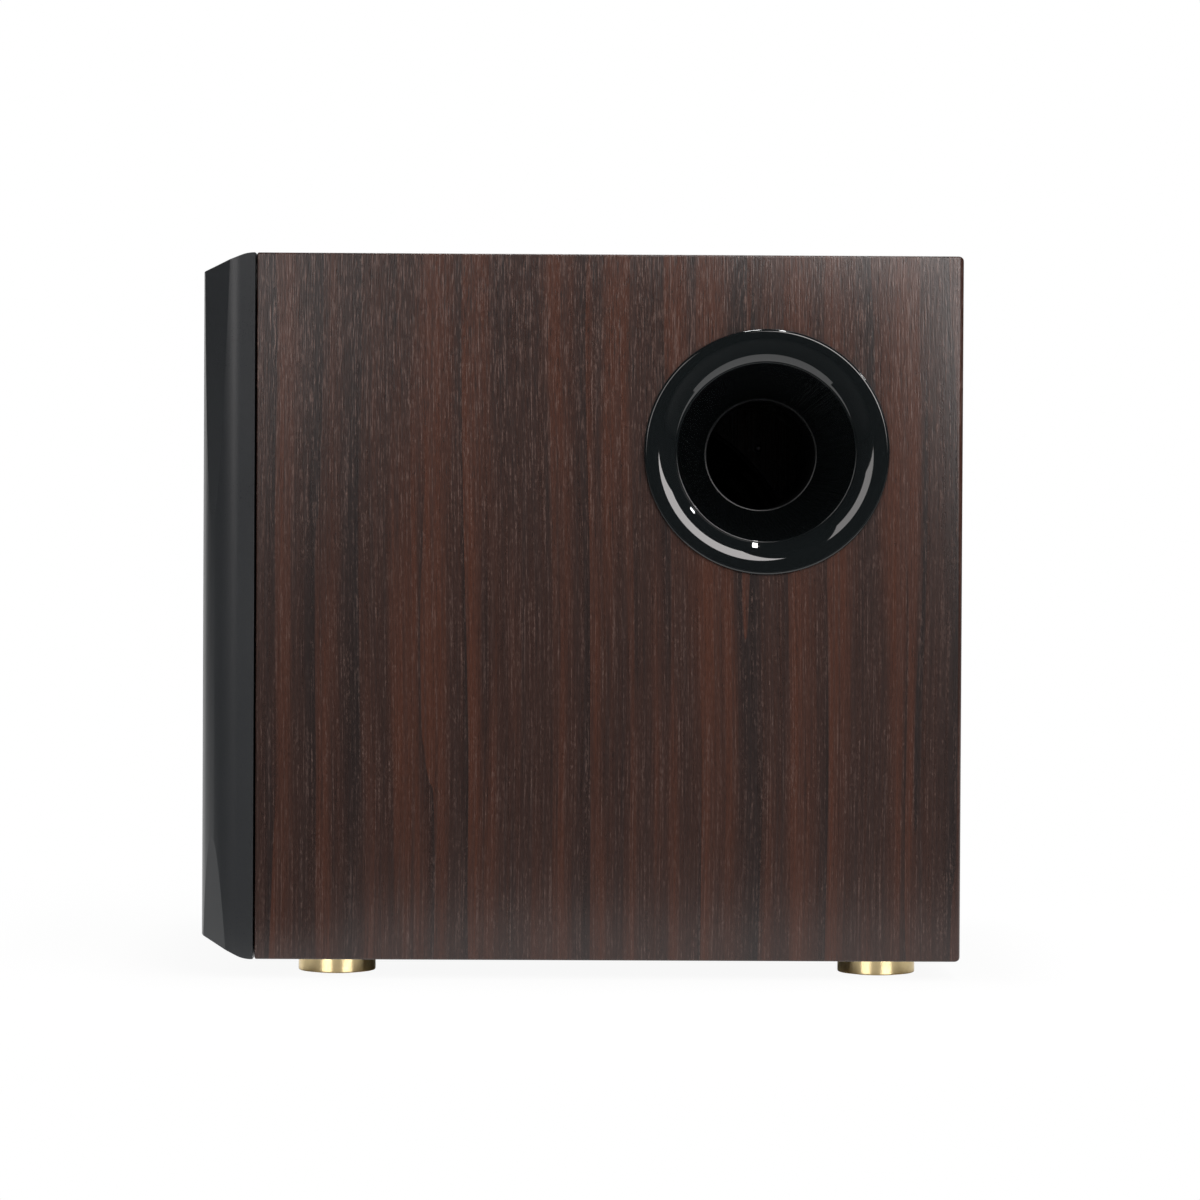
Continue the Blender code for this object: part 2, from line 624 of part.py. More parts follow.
def make_front_cover(baffle):
    """A hollow moulded cover that pushes onto the baffle with four pegs."""
    rear = FRONT_EDGE - COVER_REVEAL
    shell = mesh_from("front_panel", cover_form(0, rear))
    hollow = mesh_from("cover_cavity", cover_form(COVER_WALL, rear + OVERLAP))
    cover = place("front_panel", shell, black_plastic("cover_plastic"))
    cut(cover, place("cover_cavity", hollow))
    root = COVER_FACE + COVER_WALL - OVERLAP
    tip = FRONT_EDGE + BAFFLE_RECESS + PEG_REACH
    for k, (sx, sz) in enumerate(((-1, -1), (1, -1), (1, 1), (-1, 1))):
        axis = (MIDDLE.x + sx * (CABINET_WIDTH / 2 - PEG_INSET), 0,
                MIDDLE.z + sz * (CABINET_HEIGHT / 2 - PEG_INSET))
        join(cover, rod(f"cover_peg_{k}", PEG_RADIUS, -tip, -root, SMALL_STEPS,
                        location=axis, rotation=OUT_FRONT))
        cut(baffle, rod(f"peg_hole_{k}", PEG_RADIUS + SLIDE_GAP, -tip - SEAT_GAP, -root, SMALL_STEPS,
                        location=axis, rotation=OUT_FRONT))


def make_feet(bottom):
    """Four turned feet, each with a stud in the bottom board and a soft pad in a recess below."""
    low = FOOT_PAD_PROUD
    high = low + FOOT_HEIGHT
    recess = low + FOOT_PAD_THICKNESS + SEAT_GAP - FOOT_PAD_PROUD
    foot = [(0, high + STUD_LENGTH), (STUD_RADIUS, high + STUD_LENGTH), (STUD_RADIUS, high),
            (FOOT_RADIUS - FOOT_EDGE, high), (FOOT_RADIUS, high - FOOT_EDGE),
            (FOOT_RADIUS, low + FOOT_EDGE), (FOOT_RADIUS - FOOT_EDGE, low),
            (FOOT_PAD_RADIUS + SLIDE_GAP, low), (FOOT_PAD_RADIUS + SLIDE_GAP, recess), (0, recess)]
    across = CABINET_WIDTH / 2 - FOOT_INSET
    along = CABINET_DEPTH / 2 - FOOT_INSET
    for end, sy in (("front", -1), ("rear", 1)):
        for side, sx in (("left", -1), ("right", 1)):
            spot = (MIDDLE.x + sx * across, MIDDLE.y + sy * along, 0)
            label = f"{end}_{side}"
            turned(f"foot_{label}", foot, MEDIUM_STEPS, gold_metal(f"foot_metal_{label}"), location=spot)
            rod(f"foot_pad_{label}", FOOT_PAD_RADIUS, 0, FOOT_PAD_THICKNESS, MEDIUM_STEPS,
                rubber(f"foot_rubber_{label}"), location=spot)
            cut(bottom, rod(f"stud_hole_{label}", STUD_RADIUS + SLIDE_GAP, low,
                            high + STUD_LENGTH + SEAT_GAP, SMALL_STEPS, location=spot))


def make_port(right):
    """A flared mouth whose sleeve takes the straight duct."""
    mouth_centre = (RIGHT_FACE, REAR_EDGE - PORT_FROM_REAR, TOP - PORT_FROM_TOP)
    axis = frame_empty("port_axis", mouth_centre, OUT_RIGHT)
    lip_radius = PORT_FLANGE_RADIUS - PORT_FLANGE_EDGE
    throat = PORT_LIP - PORT_MOUTH_DEPTH
    ledge = throat - PORT_TAPER_LENGTH
    hole_radius = PORT_FLANGE_RADIUS - PORT_LANDING
    sleeve_inner = PORT_TUBE_RADIUS + PORT_WALL + SLIDE_GAP
    sleeve_outer = sleeve_inner + PORT_WALL
    body_radius = hole_radius - SEAT_GAP
    shares = [1 - k / PORT_MOUTH_STEPS for k in range(PORT_MOUTH_STEPS + 1)]
    mouth = [(lip_radius - (lip_radius - PORT_THROAT_RADIUS) * share,
              PORT_LIP - PORT_MOUTH_DEPTH * share ** PORT_MOUTH_CURVE) for share in shares]
    edge = arc((lip_radius, PORT_LIP - PORT_FLANGE_EDGE), (PORT_FLANGE_EDGE, PORT_FLANGE_EDGE), 90, 0, 2)
    sleeve_end = ledge - PORT_SLEEVE
    profile = [(PORT_TUBE_RADIUS + PORT_LEDGE, ledge), *mouth, *edge[1:], (PORT_FLANGE_RADIUS, SEAT_GAP),
               (body_radius, SEAT_GAP), (body_radius, -PORT_WALL / 2),
               (PORT_THROAT_RADIUS + PORT_WALL, throat - PORT_WALL / 2), (sleeve_outer, ledge + PORT_WALL),
               (sleeve_outer, sleeve_end), (sleeve_inner, sleeve_end), (sleeve_inner, ledge)]
    turned("port_flare", profile, PORT_STEPS, gloss_black("port_gloss"), axis)
    ring("port_tube", PORT_TUBE_RADIUS, PORT_TUBE_RADIUS + PORT_WALL, -PORT_LENGTH, ledge - SEAT_GAP,
         PORT_STEPS, black_plastic("tube_plastic"), axis)
    cut(right, rod("port_hole", hole_radius, -BOARD - OVERLAP, OVERLAP, PORT_STEPS, parent=axis))


def screw(name, parent, location):
    """A pan head screw whose head rests on Z = 0."""
    crown = SEAT_GAP + SCREW_HEAD_HEIGHT
    profile = [(0, crown), (SCREW_HEAD_RADIUS - SCREW_HEAD_EDGE, crown),
               (SCREW_HEAD_RADIUS, crown - SCREW_HEAD_EDGE), (SCREW_HEAD_RADIUS, SEAT_GAP),
               (SCREW_SHANK_RADIUS, SEAT_GAP), (SCREW_SHANK_RADIUS, -SCREW_LENGTH),
               (0, -SCREW_LENGTH - SCREW_SHANK_RADIUS)]
    return turned(name, profile, SMALL_STEPS, black_metal(name + "_steel"), parent, location)


def screw_hole(name, parent, location):
    """Room for the shank of a screw placed at the same spot."""
    depth = SCREW_LENGTH + SCREW_SHANK_RADIUS + SLIDE_GAP
    return rod(name, SCREW_SHANK_RADIUS + SLIDE_GAP, -depth, OVERLAP, SMALL_STEPS, None, parent, location)


def make_driver_frame(left, axis):
    """The pressed frame with its gasket and trim ring, and the four screws that hold it to the board."""
    rebate_radius = DRIVER_FRAME_RADIUS + SEAT_GAP * 3
    cut(left, rod("driver_rebate", rebate_radius, -DRIVER_REBATE_DEPTH, OVERLAP, DRIVER_STEPS, parent=axis),
        rod("driver_hole", DRIVER_HOLE_RADIUS, -BOARD - OVERLAP, 0, DRIVER_STEPS, parent=axis))
    gasket = ring("driver_gasket", DRIVER_HOLE_RADIUS + SEAT_GAP, DRIVER_FRAME_RADIUS,
                  -DRIVER_REBATE_DEPTH + SEAT_GAP, GASKET_TOP, DRIVER_STEPS,
                  rubber("driver_gasket_foam"), axis)

    flange = FLANGE_BACK + FRAME_METAL / 2
    shelf = SHELF_FRONT - FRAME_METAL / 2
    seat = MOTOR_FACE + SEAT_GAP + FRAME_METAL / 2
    bend = DRIVER_HOLE_RADIUS - FRAME_METAL - SEAT_GAP
    line = [(FRAME_SEAT_INNER, seat), (FRAME_SHELF_INNER - FRAME_METAL, seat), (FRAME_SHELF_INNER, shelf),
            (SHELF_OUTER, shelf), (SHELF_OUTER + FRAME_METAL, shelf + FRAME_METAL),
            (bend - FRAME_METAL, flange - FRAME_LEG_TOP), (bend, flange), (DRIVER_FRAME_RADIUS, flange)]
    basket = turned("driver_basket", sheet(line, FRAME_METAL), DRIVER_STEPS,
                    black_metal("basket_paint"), axis)
    window_low = shelf + 3 * FRAME_METAL
    window_high = flange - FRAME_LEG_TOP - FRAME_METAL
    window_size = (bend - FRAME_SHELF_INNER, FRAME_WINDOW_WIDTH, window_high - window_low)
    window_radius = (bend + FRAME_SHELF_INNER) / 2 + FRAME_METAL
    window_height = (window_low + window_high) / 2
    for k in range(FRAME_WINDOWS):
        angle = math.tau * k / FRAME_WINDOWS
        spot = (window_radius * math.cos(angle), window_radius * math.sin(angle), window_height)
        cut(basket, block(f"basket_window_{k}", window_size, None, axis, spot, (0, 0, angle)))
    trim_face = SEAT_PLANE + TRIM_RING_THICKNESS
    trim = ring("trim_ring", DRIVER_FRAME_RADIUS - TRIM_RING_WIDTH, DRIVER_FRAME_RADIUS, SEAT_PLANE,
                trim_face, DRIVER_STEPS, rubber("trim_ring_rubber"), axis)
    for k in range(4):
        angle = math.tau * (k + 0.5) / 4
        spot = (SCREW_CIRCLE * math.cos(angle), SCREW_CIRCLE * math.sin(angle), FLANGE_FRONT)
        screw(f"driver_screw_{k + 1}", axis, spot)
        hole = screw_hole(f"driver_screw_hole_{k + 1}", axis, spot)
        for piece in (left, gasket, basket):
            cut(piece, hole)
        cut(trim, rod(f"driver_screw_seat_{k + 1}", SCREW_HEAD_RADIUS + SLIDE_GAP, -OVERLAP,
                      TRIM_RING_THICKNESS + OVERLAP, SMALL_STEPS, None, axis, spot))
    return line


def make_motor(axis):
    """The top plate, the magnet and the yoke with its vented pole."""
    gap_inner = COIL_RADIUS - FORMER_WALL - COIL_CLEARANCE
    gap_outer = COIL_RADIUS + SEAT_GAP + WINDING_THICKNESS + COIL_CLEARANCE
    ring("top_plate", gap_outer, TOP_PLATE_RADIUS, MOTOR_FACE - TOP_PLATE_THICKNESS, MOTOR_FACE,
         MEDIUM_STEPS, bare_steel("top_plate_steel"), axis)
    ring("magnet_ring", MAGNET_INNER_RADIUS, MAGNET_RADIUS, YOKE_FACE + SEAT_GAP, MAGNET_FACE, MEDIUM_STEPS,
         finish("ferrite", (0.04, 0.04, 0.042), 0.6), axis)
    pole = [(VENT_RADIUS, MOTOR_FACE), (gap_inner, MOTOR_FACE), (gap_inner, YOKE_FACE),
            (TOP_PLATE_RADIUS, YOKE_FACE), (TOP_PLATE_RADIUS, YOKE_BACK), (VENT_RADIUS, YOKE_BACK)]
    turned("pole_yoke", pole, MEDIUM_STEPS, bare_steel("yoke_steel"), axis)


def cone_height(radius):
    """Height of the middle of the cone's paper at a radius inside its rim."""
    share = (CONE_RIM_INNER - radius) / (CONE_RIM_INNER - CONE_NECK)
    return CONE_FRONT - CONE_THICKNESS / 2 - CONE_DEPTH * share ** CONE_CURVE


def make_moving_group(axis):
    """The cone, dust cap, former and winding, which travel together along the axis."""
    radii = [CONE_NECK + (CONE_RIM_INNER - CONE_NECK) * k / SECTION_STEPS for k in range(SECTION_STEPS + 1)]
    cone_line = [(radius, cone_height(radius)) for radius in radii]
    cone_line.append((CONE_OUTER, CONE_FRONT - CONE_THICKNESS / 2))
    turned("cone", sheet(cone_line, CONE_THICKNESS), DRIVER_STEPS,
           finish("cone_paper", (0.03, 0.03, 0.032), 0.8), axis)

    foot = cone_height(DUST_CAP_RADIUS) + 2 * CONE_THICKNESS + SEAT_GAP
    dome = arc((0, foot), (DUST_CAP_RADIUS, DUST_CAP_RISE), 90, 0, SECTION_STEPS)
    turned("dust_cap", sheet([(0, foot + DUST_CAP_RISE), *dome[1:]], CONE_THICKNESS), MEDIUM_STEPS,
           finish("cap_paper", (0.02, 0.02, 0.022), 0.6), axis)

    winding_low = COIL_MIDDLE - WINDING_LENGTH / 2
    ring("voice_coil_former", COIL_RADIUS - FORMER_WALL, COIL_RADIUS, winding_low - FORMER_TAIL,
         cone_height(CONE_NECK) + CONE_THICKNESS, MEDIUM_STEPS, bare_steel("former_foil"), axis)
    ring("voice_coil", COIL_RADIUS + SEAT_GAP, COIL_RADIUS + SEAT_GAP + WINDING_THICKNESS, winding_low,
         winding_low + WINDING_LENGTH, MEDIUM_STEPS, finish("coil_wire", (0.55, 0.25, 0.10), 0.4, 1.0), axis)


def make_suspension(axis):
    """The rolled surround and the waved spider, which bend as the cone travels."""
    middle = SEAT_PLANE + SURROUND_THICKNESS / 2
    roll = arc((SURROUND_CENTRE, middle), (SURROUND_ROLL, SURROUND_ROLL), 180, 0, SURROUND_STEPS)
    inner = SURROUND_CENTRE - SURROUND_ROLL - SURROUND_LIP
    line = [(inner, middle), *roll, (SURROUND_OUTER, middle)]
    turned("surround", sheet(line, SURROUND_THICKNESS), DRIVER_STEPS, rubber("surround_rubber"), axis)

    height = SHELF_FRONT + SEAT_GAP + SPIDER_THICKNESS / 2
    start = CONE_NECK + SPIDER_COLLAR
    waved = FRAME_SHELF_INNER - 3 * FRAME_METAL - start
    folds = 2 * SPIDER_WAVES
    waves = [(start + waved * (k + 0.5) / folds, height + SPIDER_WAVE_HEIGHT * (-1) ** k)
             for k in range(folds)]
    line = [(CONE_NECK, height), (start, height), *waves, (start + waved, height),
            (SHELF_OUTER - FRAME_METAL, height)]
    turned("spider", sheet(line, SPIDER_THICKNESS), MEDIUM_STEPS,
           finish("spider_cloth", (0.45, 0.30, 0.12), 0.9), axis)


def make_terminals(axis, frame_line):
    """The driver's terminal block, on the back of the frame leg that faces the amplifier."""
    low, high = (Vector(point) for point in frame_line[4:6])
    slope = math.atan2(high.y - low.y, high.x - low.x)
    seat = (low + high) / 2
    drop = FRAME_METAL / 2 + SEAT_GAP + TERMINAL_SIZE[2] / 2
    spot = Vector((0, seat.x + drop * math.sin(slope), seat.y - drop * math.cos(slope)))
    terminals = block("driver_terminals", TERMINAL_SIZE, black_plastic("terminal_plastic"), axis, spot,
                      (slope, 0, 0))
    for side in (-1, 1):
        tab = block(f"terminal_tab_{side}", TERMINAL_TAB, None, axis, spot, (slope, 0, 0))
        tab.location += tab.rotation_euler.to_matrix() @ Vector(
            (side * TERMINAL_SPACING / 2, -(TERMINAL_SIZE[1] + TERMINAL_TAB[1]) / 2 + OVERLAP, 0))
        join(terminals, tab)
    below = TERMINAL_SIZE[2] / 2 * math.cos(slope) + TERMINAL_SIZE[1] / 2 * math.sin(slope)
    return spot - Vector((0, 0, below))


def make_grille(axis):
    """A domed sheet with six-sided holes, held by a clip-on ring."""
    rim = SEAT_GAP + GRILLE_SHEET / 2
    rise = GRILLE_PROUD - GRILLE_SHEET - SEAT_GAP
    line = []
    for k in range(SECTION_STEPS + 1):
        radius = GRILLE_DOME_RADIUS * math.sin(math.pi / 2 * k / SECTION_STEPS)
        line.append((radius, rim + rise * (1 - (radius / GRILLE_DOME_RADIUS) ** GRILLE_DOME_POWER)))
    line.append((GRILLE_DOME_RADIUS + GRILLE_RIM, rim))
    grille = turned("grille", sheet(line, GRILLE_SHEET), DRIVER_STEPS, black_metal("grille_paint"), axis)

    hole_radius = GRILLE_HOLE_ACROSS / math.sqrt(3)
    reach = GRILLE_DOME_RADIUS - GRILLE_PLAIN_EDGE - hole_radius
    rings = int(reach / GRILLE_HOLE_PITCH) + 1
    bm = bmesh.new()
    for row in range(-rings, rings + 1):
        for column in range(-rings, rings + 1):
            x = GRILLE_HOLE_PITCH * (column + row / 2)
            y = GRILLE_HOLE_PITCH * row * math.sqrt(3) / 2
            if math.hypot(x, y) > reach:
                continue
            bmesh.ops.create_cone(
                bm, cap_ends=True, segments=6, radius1=hole_radius, radius2=hole_radius,
                depth=3 * GRILLE_PROUD, matrix=Matrix.Translation((x, y, GRILLE_PROUD / 2)))
    cut(grille, place("grille_holes", mesh_from("grille_holes", bm), None, axis))

    inside = GRILLE_DOME_RADIUS + GRILLE_RIM + SEAT_GAP
    outside = inside + GRILLE_FRAME_WIDTH
    under_lip = SEAT_GAP + GRILLE_SHEET + SEAT_GAP
    lip_edge = GRILLE_DOME_RADIUS + GRILLE_SHEET
    ease = GRILLE_FRAME_WIDTH / 3
    profile = [(lip_edge, under_lip + GRILLE_LIP), (inside, GRILLE_FRAME_HEIGHT),
               (outside - ease, GRILLE_FRAME_HEIGHT), (outside, GRILLE_FRAME_HEIGHT - ease),
               (outside, SEAT_GAP), (inside, SEAT_GAP), (inside, under_lip), (lip_edge, under_lip)]
    turned("grille_frame", profile, DRIVER_STEPS, black_plastic("grille_frame_plastic"), axis)


def make_driver(left):
    axis = frame_empty("driver_axis", (LEFT_FACE, MIDDLE.y, MIDDLE.z), OUT_LEFT)
    frame_line = make_driver_frame(left, axis)
    make_motor(axis)
    make_moving_group(axis)
    make_suspension(axis)
    make_grille(axis)
    return axis, make_terminals(axis, frame_line)


def make_amp_plate(back, amp):
    """The plate, its gasket and screws, and the opening behind them in the back board."""
    jacks = [(JACKS_AT[0] + sx * JACK_SPACING / 2, JACKS_AT[1] + sy * JACK_SPACING / 2)
             for sx in (-1, 1) for sy in (-1, 1)]
    slot = SLIDER_STEM[0] + SLIDER_TRAVEL + 2 * SLIDE_GAP
    screw_holes = [circle(SCREW_SHANK_RADIUS + SLIDE_GAP, spot) for spot in AMP_SCREWS]
    outline = rounded_rectangle(AMP_WIDTH, AMP_HEIGHT, AMP_CORNER_RADIUS)
    plate = [outline, *screw_holes,
             *[circle(POT_BUSH_RADIUS + SLIDE_GAP, spot) for spot in (LEVEL_KNOB_AT, CROSSOVER_KNOB_AT)],
             *[circle(JACK_RADIUS + SLIDE_GAP, spot) for spot in jacks],
             rectangle(slot, SLIDER_STEM[1] + 2 * SLIDE_GAP, PHASE_SWITCH_AT),
             rectangle(SWITCH_SIZE[0] + 2 * SLIDE_GAP, SWITCH_SIZE[1] + 2 * SLIDE_GAP, POWER_SWITCH_AT),
             rectangle(INLET_SIZE[0] + 2 * SLIDE_GAP, INLET_SIZE[1] + 2 * SLIDE_GAP, INLET_AT)]
    flat_piece("amp_plate", plate, AMP_PLATE, black_metal("amp_plate_paint"), amp, (0, 0, -AMP_PLATE / 2))
    flat_piece("amp_gasket", [outline, rectangle(*AMP_OPENING), *screw_holes], AMP_GASKET,
               rubber("amp_gasket_foam"), amp, (0, 0, PLATE_BACK - AMP_GASKET / 2))
    cut(back, block("amp_opening", (*AMP_OPENING, 4 * BACK_BOARD), None, amp))
    for k, spot in enumerate(AMP_SCREWS):
        screw(f"amp_screw_{k + 1}", amp, (*spot, 0))
        cut(back, screw_hole(f"amp_screw_hole_{k + 1}", amp, (*spot, 0)))
    return jacks


def make_heat_sink(amp):
    """A finned extrusion on the outside of the plate."""
    count = int((HEAT_SINK_WIDTH - FIN_THICKNESS) / FIN_PITCH) + 1
    first = -(count - 1) * FIN_PITCH / 2
    foot = SEAT_GAP
    base = foot + HEAT_SINK_BASE
    comb = [(-HEAT_SINK_WIDTH / 2, foot), (HEAT_SINK_WIDTH / 2, foot), (HEAT_SINK_WIDTH / 2, base)]
    for k in reversed(range(count)):
        middle = first + k * FIN_PITCH
        comb += [(middle + FIN_THICKNESS / 2, base), (middle + FIN_THICKNESS / 2, base + FIN_HEIGHT),
                 (middle - FIN_THICKNESS / 2, base + FIN_HEIGHT), (middle - FIN_THICKNESS / 2, base)]
    comb.append((-HEAT_SINK_WIDTH / 2, base))
    flat_piece("heat_sink", [comb], HEAT_SINK_LENGTH, black_metal("heat_sink_anodise"), amp,
               (*HEAT_SINK_AT, 0), OUT_FRONT)


def make_knobs(amp):
    """The two knobs with their shafts, and the controls that the shafts turn in."""
    foot = KNOB_LIFT
    crown = foot + KNOB_HEIGHT
    shaft_end = -SHAFT_LENGTH
    knob = [(0, crown), (KNOB_RADIUS - 2 * KNOB_EDGE, crown), (KNOB_RADIUS - KNOB_EDGE, crown - KNOB_EDGE),
            (KNOB_RADIUS, foot + 2 * KNOB_SKIRT_HEIGHT), (KNOB_SKIRT_RADIUS, foot + KNOB_SKIRT_HEIGHT),
            (KNOB_SKIRT_RADIUS, foot), (SHAFT_RADIUS, foot), (SHAFT_RADIUS, shaft_end), (0, shaft_end)]
    bore = SHAFT_RADIUS + SLIDE_GAP
    pot_back = PLATE_BACK - POT_DEPTH
    pot = [(0, shaft_end - SEAT_GAP), (bore, shaft_end - SEAT_GAP), (bore, -SEAT_GAP),
           (POT_BUSH_RADIUS, -SEAT_GAP), (POT_BUSH_RADIUS, PLATE_BACK), (POT_RADIUS, PLATE_BACK),
           (POT_RADIUS, pot_back), (0, pot_back)]
    for label, spot in (("level", LEVEL_KNOB_AT), ("crossover", CROSSOVER_KNOB_AT)):
        turned(f"{label}_knob", knob, MEDIUM_STEPS, black_plastic(f"{label}_knob_plastic"), amp, (*spot, 0))
        turned(f"{label}_control", pot, SMALL_STEPS, bare_steel(f"{label}_control_case"), amp, (*spot, 0))


def make_phase_switch(amp):
    """A slide switch: its case behind the plate and the slider that pokes through the slot."""
    x, y = PHASE_SWITCH_AT
    well = [SLIDER_BASE[0] + SLIDER_TRAVEL + 2 * SLIDE_GAP, SLIDER_BASE[1] + 2 * SLIDE_GAP,
            SLIDER_BASE[2] + 2 * SEAT_GAP]
    case = [size + 2 * SLIDER_CASE_WALL for size in well[:2]] + [well[2] + SLIDER_CASE_WALL]
    body = block("phase_switch_case", case, bare_steel("phase_case_steel"), amp,
                 (x, y, PLATE_BACK - case[2] / 2))
    cut(body, block("phase_well", (well[0], well[1], 2 * well[2]), None, amp, (x, y, PLATE_BACK)))
    rest = x - SLIDER_TRAVEL / 2
    base_top = PLATE_BACK - SEAT_GAP
    slider = block("phase_slider", SLIDER_BASE, black_plastic("slider_plastic"), amp,
                   (rest, y, base_top - SLIDER_BASE[2] / 2))
    stem_low = base_top - OVERLAP
    join(slider, block("phase_stem", (*SLIDER_STEM, SLIDER_PROUD - stem_low), None, amp,
                       (rest, y, (SLIDER_PROUD + stem_low) / 2)))


def make_power_switch(amp):
    """A snap-in rocker switch: its frame, and the rocker on two short trunnions."""
    x, y = POWER_SWITCH_AT
    width, height = SWITCH_SIZE
    top = SEAT_GAP + SWITCH_BEZEL
    frame = block("power_switch_frame", (width, height, SWITCH_DEPTH + top), black_plastic("switch_plastic"),
                  amp, (x, y, (top - SWITCH_DEPTH) / 2))
    bezel = (width + 2 * SWITCH_FLANGE, height + 2 * SWITCH_FLANGE, SWITCH_BEZEL)
    join(frame, block("switch_bezel", bezel, None, amp, (x, y, SEAT_GAP + SWITCH_BEZEL / 2)))
    well = (width - 2 * SWITCH_WALL, height - 2 * SWITCH_WALL, 2 * SWITCH_WELL)
    cut(frame, block("switch_well", well, None, amp, (x, y, top)))
    pivot = (x, y, -ROCKER_PIVOT_DEPTH)
    reach = well[0] / 2 + TRUNNION_LENGTH
    cut(frame, rod("trunnion_hole", TRUNNION_RADIUS + SLIDE_GAP, -reach - SLIDE_GAP, reach + SLIDE_GAP,
                   SMALL_STEPS, None, amp, pivot, OUT_RIGHT))

    half = well[1] / 2 - ROCKER_END_GAP
    belly = -ROCKER_BELLY
    side = [(-half, ROCKER_END_HEIGHT), (-half, belly), (0, 2 * belly), (half, belly),
            (half, ROCKER_END_HEIGHT), (0, ROCKER_MID_HEIGHT)]
    stand = Matrix.Rotation(math.pi / 2, 3, "Z") @ Matrix.Rotation(math.pi / 2, 3, "X")
    turn = (Matrix.Rotation(math.radians(ROCKER_TILT), 3, "X") @ stand).to_euler()
    rocker = flat_piece("power_rocker", [side], well[0] - 2 * SLIDE_GAP, black_plastic("rocker_plastic"), amp,
                        pivot, turn)
    join(rocker, rod("rocker_trunnions", TRUNNION_RADIUS, -reach, reach, SMALL_STEPS, None, amp, pivot,
                     OUT_RIGHT))


def inlet_outline(width, height, corner):
    """A rectangle whose two upper corners are cut off."""
    right, top = width / 2, height / 2
    return [(-right, -top), (right, -top), (right, top - corner), (right - corner, top),
            (corner - right, top), (-right, top - corner)]


def make_mains_inlet(amp):
    """A three pin socket for a detachable lead."""
    x, y = INLET_AT
    width, height = INLET_SIZE
    top = SEAT_GAP + INLET_BEZEL
    inlet = block("mains_inlet", (width, height, INLET_DEPTH + top), black_plastic("inlet_plastic"), amp,
                  (x, y, (top - INLET_DEPTH) / 2))
    bezel = (width + 2 * INLET_FLANGE, height + 2 * INLET_FLANGE, INLET_BEZEL)
    join(inlet, block("inlet_bezel", bezel, None, amp, (x, y, SEAT_GAP + INLET_BEZEL / 2)))
    well = inlet_outline(width - 2 * INLET_WALL, height - 2 * INLET_WALL, INLET_CORNER)
    floor = -INLET_WELL
    brim = top + OVERLAP
    cut(inlet, flat_piece("inlet_well", [well], brim - floor, None, amp, (x, y, (brim + floor) / 2)))
    pins = ((-PIN_SPACING, -PIN_OFFSET), (0, PIN_OFFSET), (PIN_SPACING, -PIN_OFFSET))
    for k, (px, py) in enumerate(pins):
        join(inlet, block(f"inlet_pin_{k}", (*PIN_SIZE[:2], PIN_SIZE[2] + OVERLAP), None, amp,
                          (x + px, y + py, floor + (PIN_SIZE[2] - OVERLAP) / 2)))


def make_jacks(amp, jacks):
    """Four phono sockets on one housing behind the plate."""
    housing = block("jack_block", (JACK_BLOCK, JACK_BLOCK, JACK_BLOCK_DEPTH), black_plastic("jack_plastic"),
                    amp, (*JACKS_AT, PLATE_BACK - JACK_BLOCK_DEPTH / 2))
    for k, spot in enumerate(jacks):
        join(housing, rod(f"jack_barrel_{k}", JACK_RADIUS, PLATE_BACK - OVERLAP, JACK_PROUD, SMALL_STEPS,
                          None, amp, (*spot, 0)))
    bore_floor = JACK_PROUD - JACK_BORE_DEPTH
    for k, spot in enumerate(jacks):
        cut(housing, rod(f"jack_bore_{k}", JACK_BORE_RADIUS, bore_floor, JACK_PROUD + OVERLAP, SMALL_STEPS,
                         None, amp, (*spot, 0)))


def make_electronics(amp):
    """The circuit board with its two large capacitors, and the mains transformer."""
    back = CIRCUIT_FACE - CIRCUIT_SIZE[2]
    block("circuit_board", CIRCUIT_SIZE, finish("board_resin", (0.02, 0.16, 0.06), 0.5), amp,
          (*CIRCUIT_AT, CIRCUIT_FACE - CIRCUIT_SIZE[2] / 2))
    high = back - SEAT_GAP
    low = high - CAPACITOR_LENGTH
    groove = high - CAPACITOR_LENGTH / 6
    can = [(0, high), (CAPACITOR_RADIUS, high), (CAPACITOR_RADIUS, groove + 2 * CAPACITOR_GROOVE),
           (CAPACITOR_RADIUS - CAPACITOR_GROOVE, groove), (CAPACITOR_RADIUS, groove - 2 * CAPACITOR_GROOVE),
           (CAPACITOR_RADIUS, low), (0, low)]
    for k, spot in enumerate(CAPACITOR_AT):
        sleeve = finish(f"capacitor_sleeve_{k + 1}", (0.02, 0.02, 0.03), 0.4)
        turned(f"capacitor_{k + 1}", can, SMALL_STEPS, sleeve, amp, (*spot, 0))

    coil_wall = CORE_WINDOW[0] - 2 * SEAT_GAP
    core_front = PLATE_BACK - 2 * SEAT_GAP - coil_wall
    core_middle = core_front - CORE_STACK / 2
    window_x = (CORE_LIMB + CORE_WINDOW[0]) / 2
    windows = [rectangle(*CORE_WINDOW, (side * window_x, 0)) for side in (-1, 1)]
    core = flat_piece("transformer_core", [rectangle(*CORE_SIZE), *windows], CORE_STACK,
                      bare_steel("core_steel"), amp, (*TRANSFORMER_AT, core_middle))
    leg = (CORE_FOOT, CORE_SIZE[1] - CORE_FOOT, PLATE_BACK - core_middle)
    for side in (-1, 1):
        leg_x = TRANSFORMER_AT[0] + side * (CORE_SIZE[0] - CORE_FOOT) / 2
        join(core, block(f"core_leg_{side}", leg, None, amp,
                         (leg_x, TRANSFORMER_AT[1], (PLATE_BACK + core_middle) / 2)))
    limb = (CORE_LIMB + 2 * SEAT_GAP, CORE_STACK + 2 * SEAT_GAP)
    coil = [rectangle(*[size + 2 * coil_wall for size in limb]), rectangle(*limb)]
    tape = finish("winding_tape", (0.55, 0.42, 0.05), 0.5)
    flat_piece("transformer_winding", coil, CORE_WINDOW[1] - 2 * SEAT_GAP, tape, amp,
               (*TRANSFORMER_AT, core_middle), OUT_FRONT)


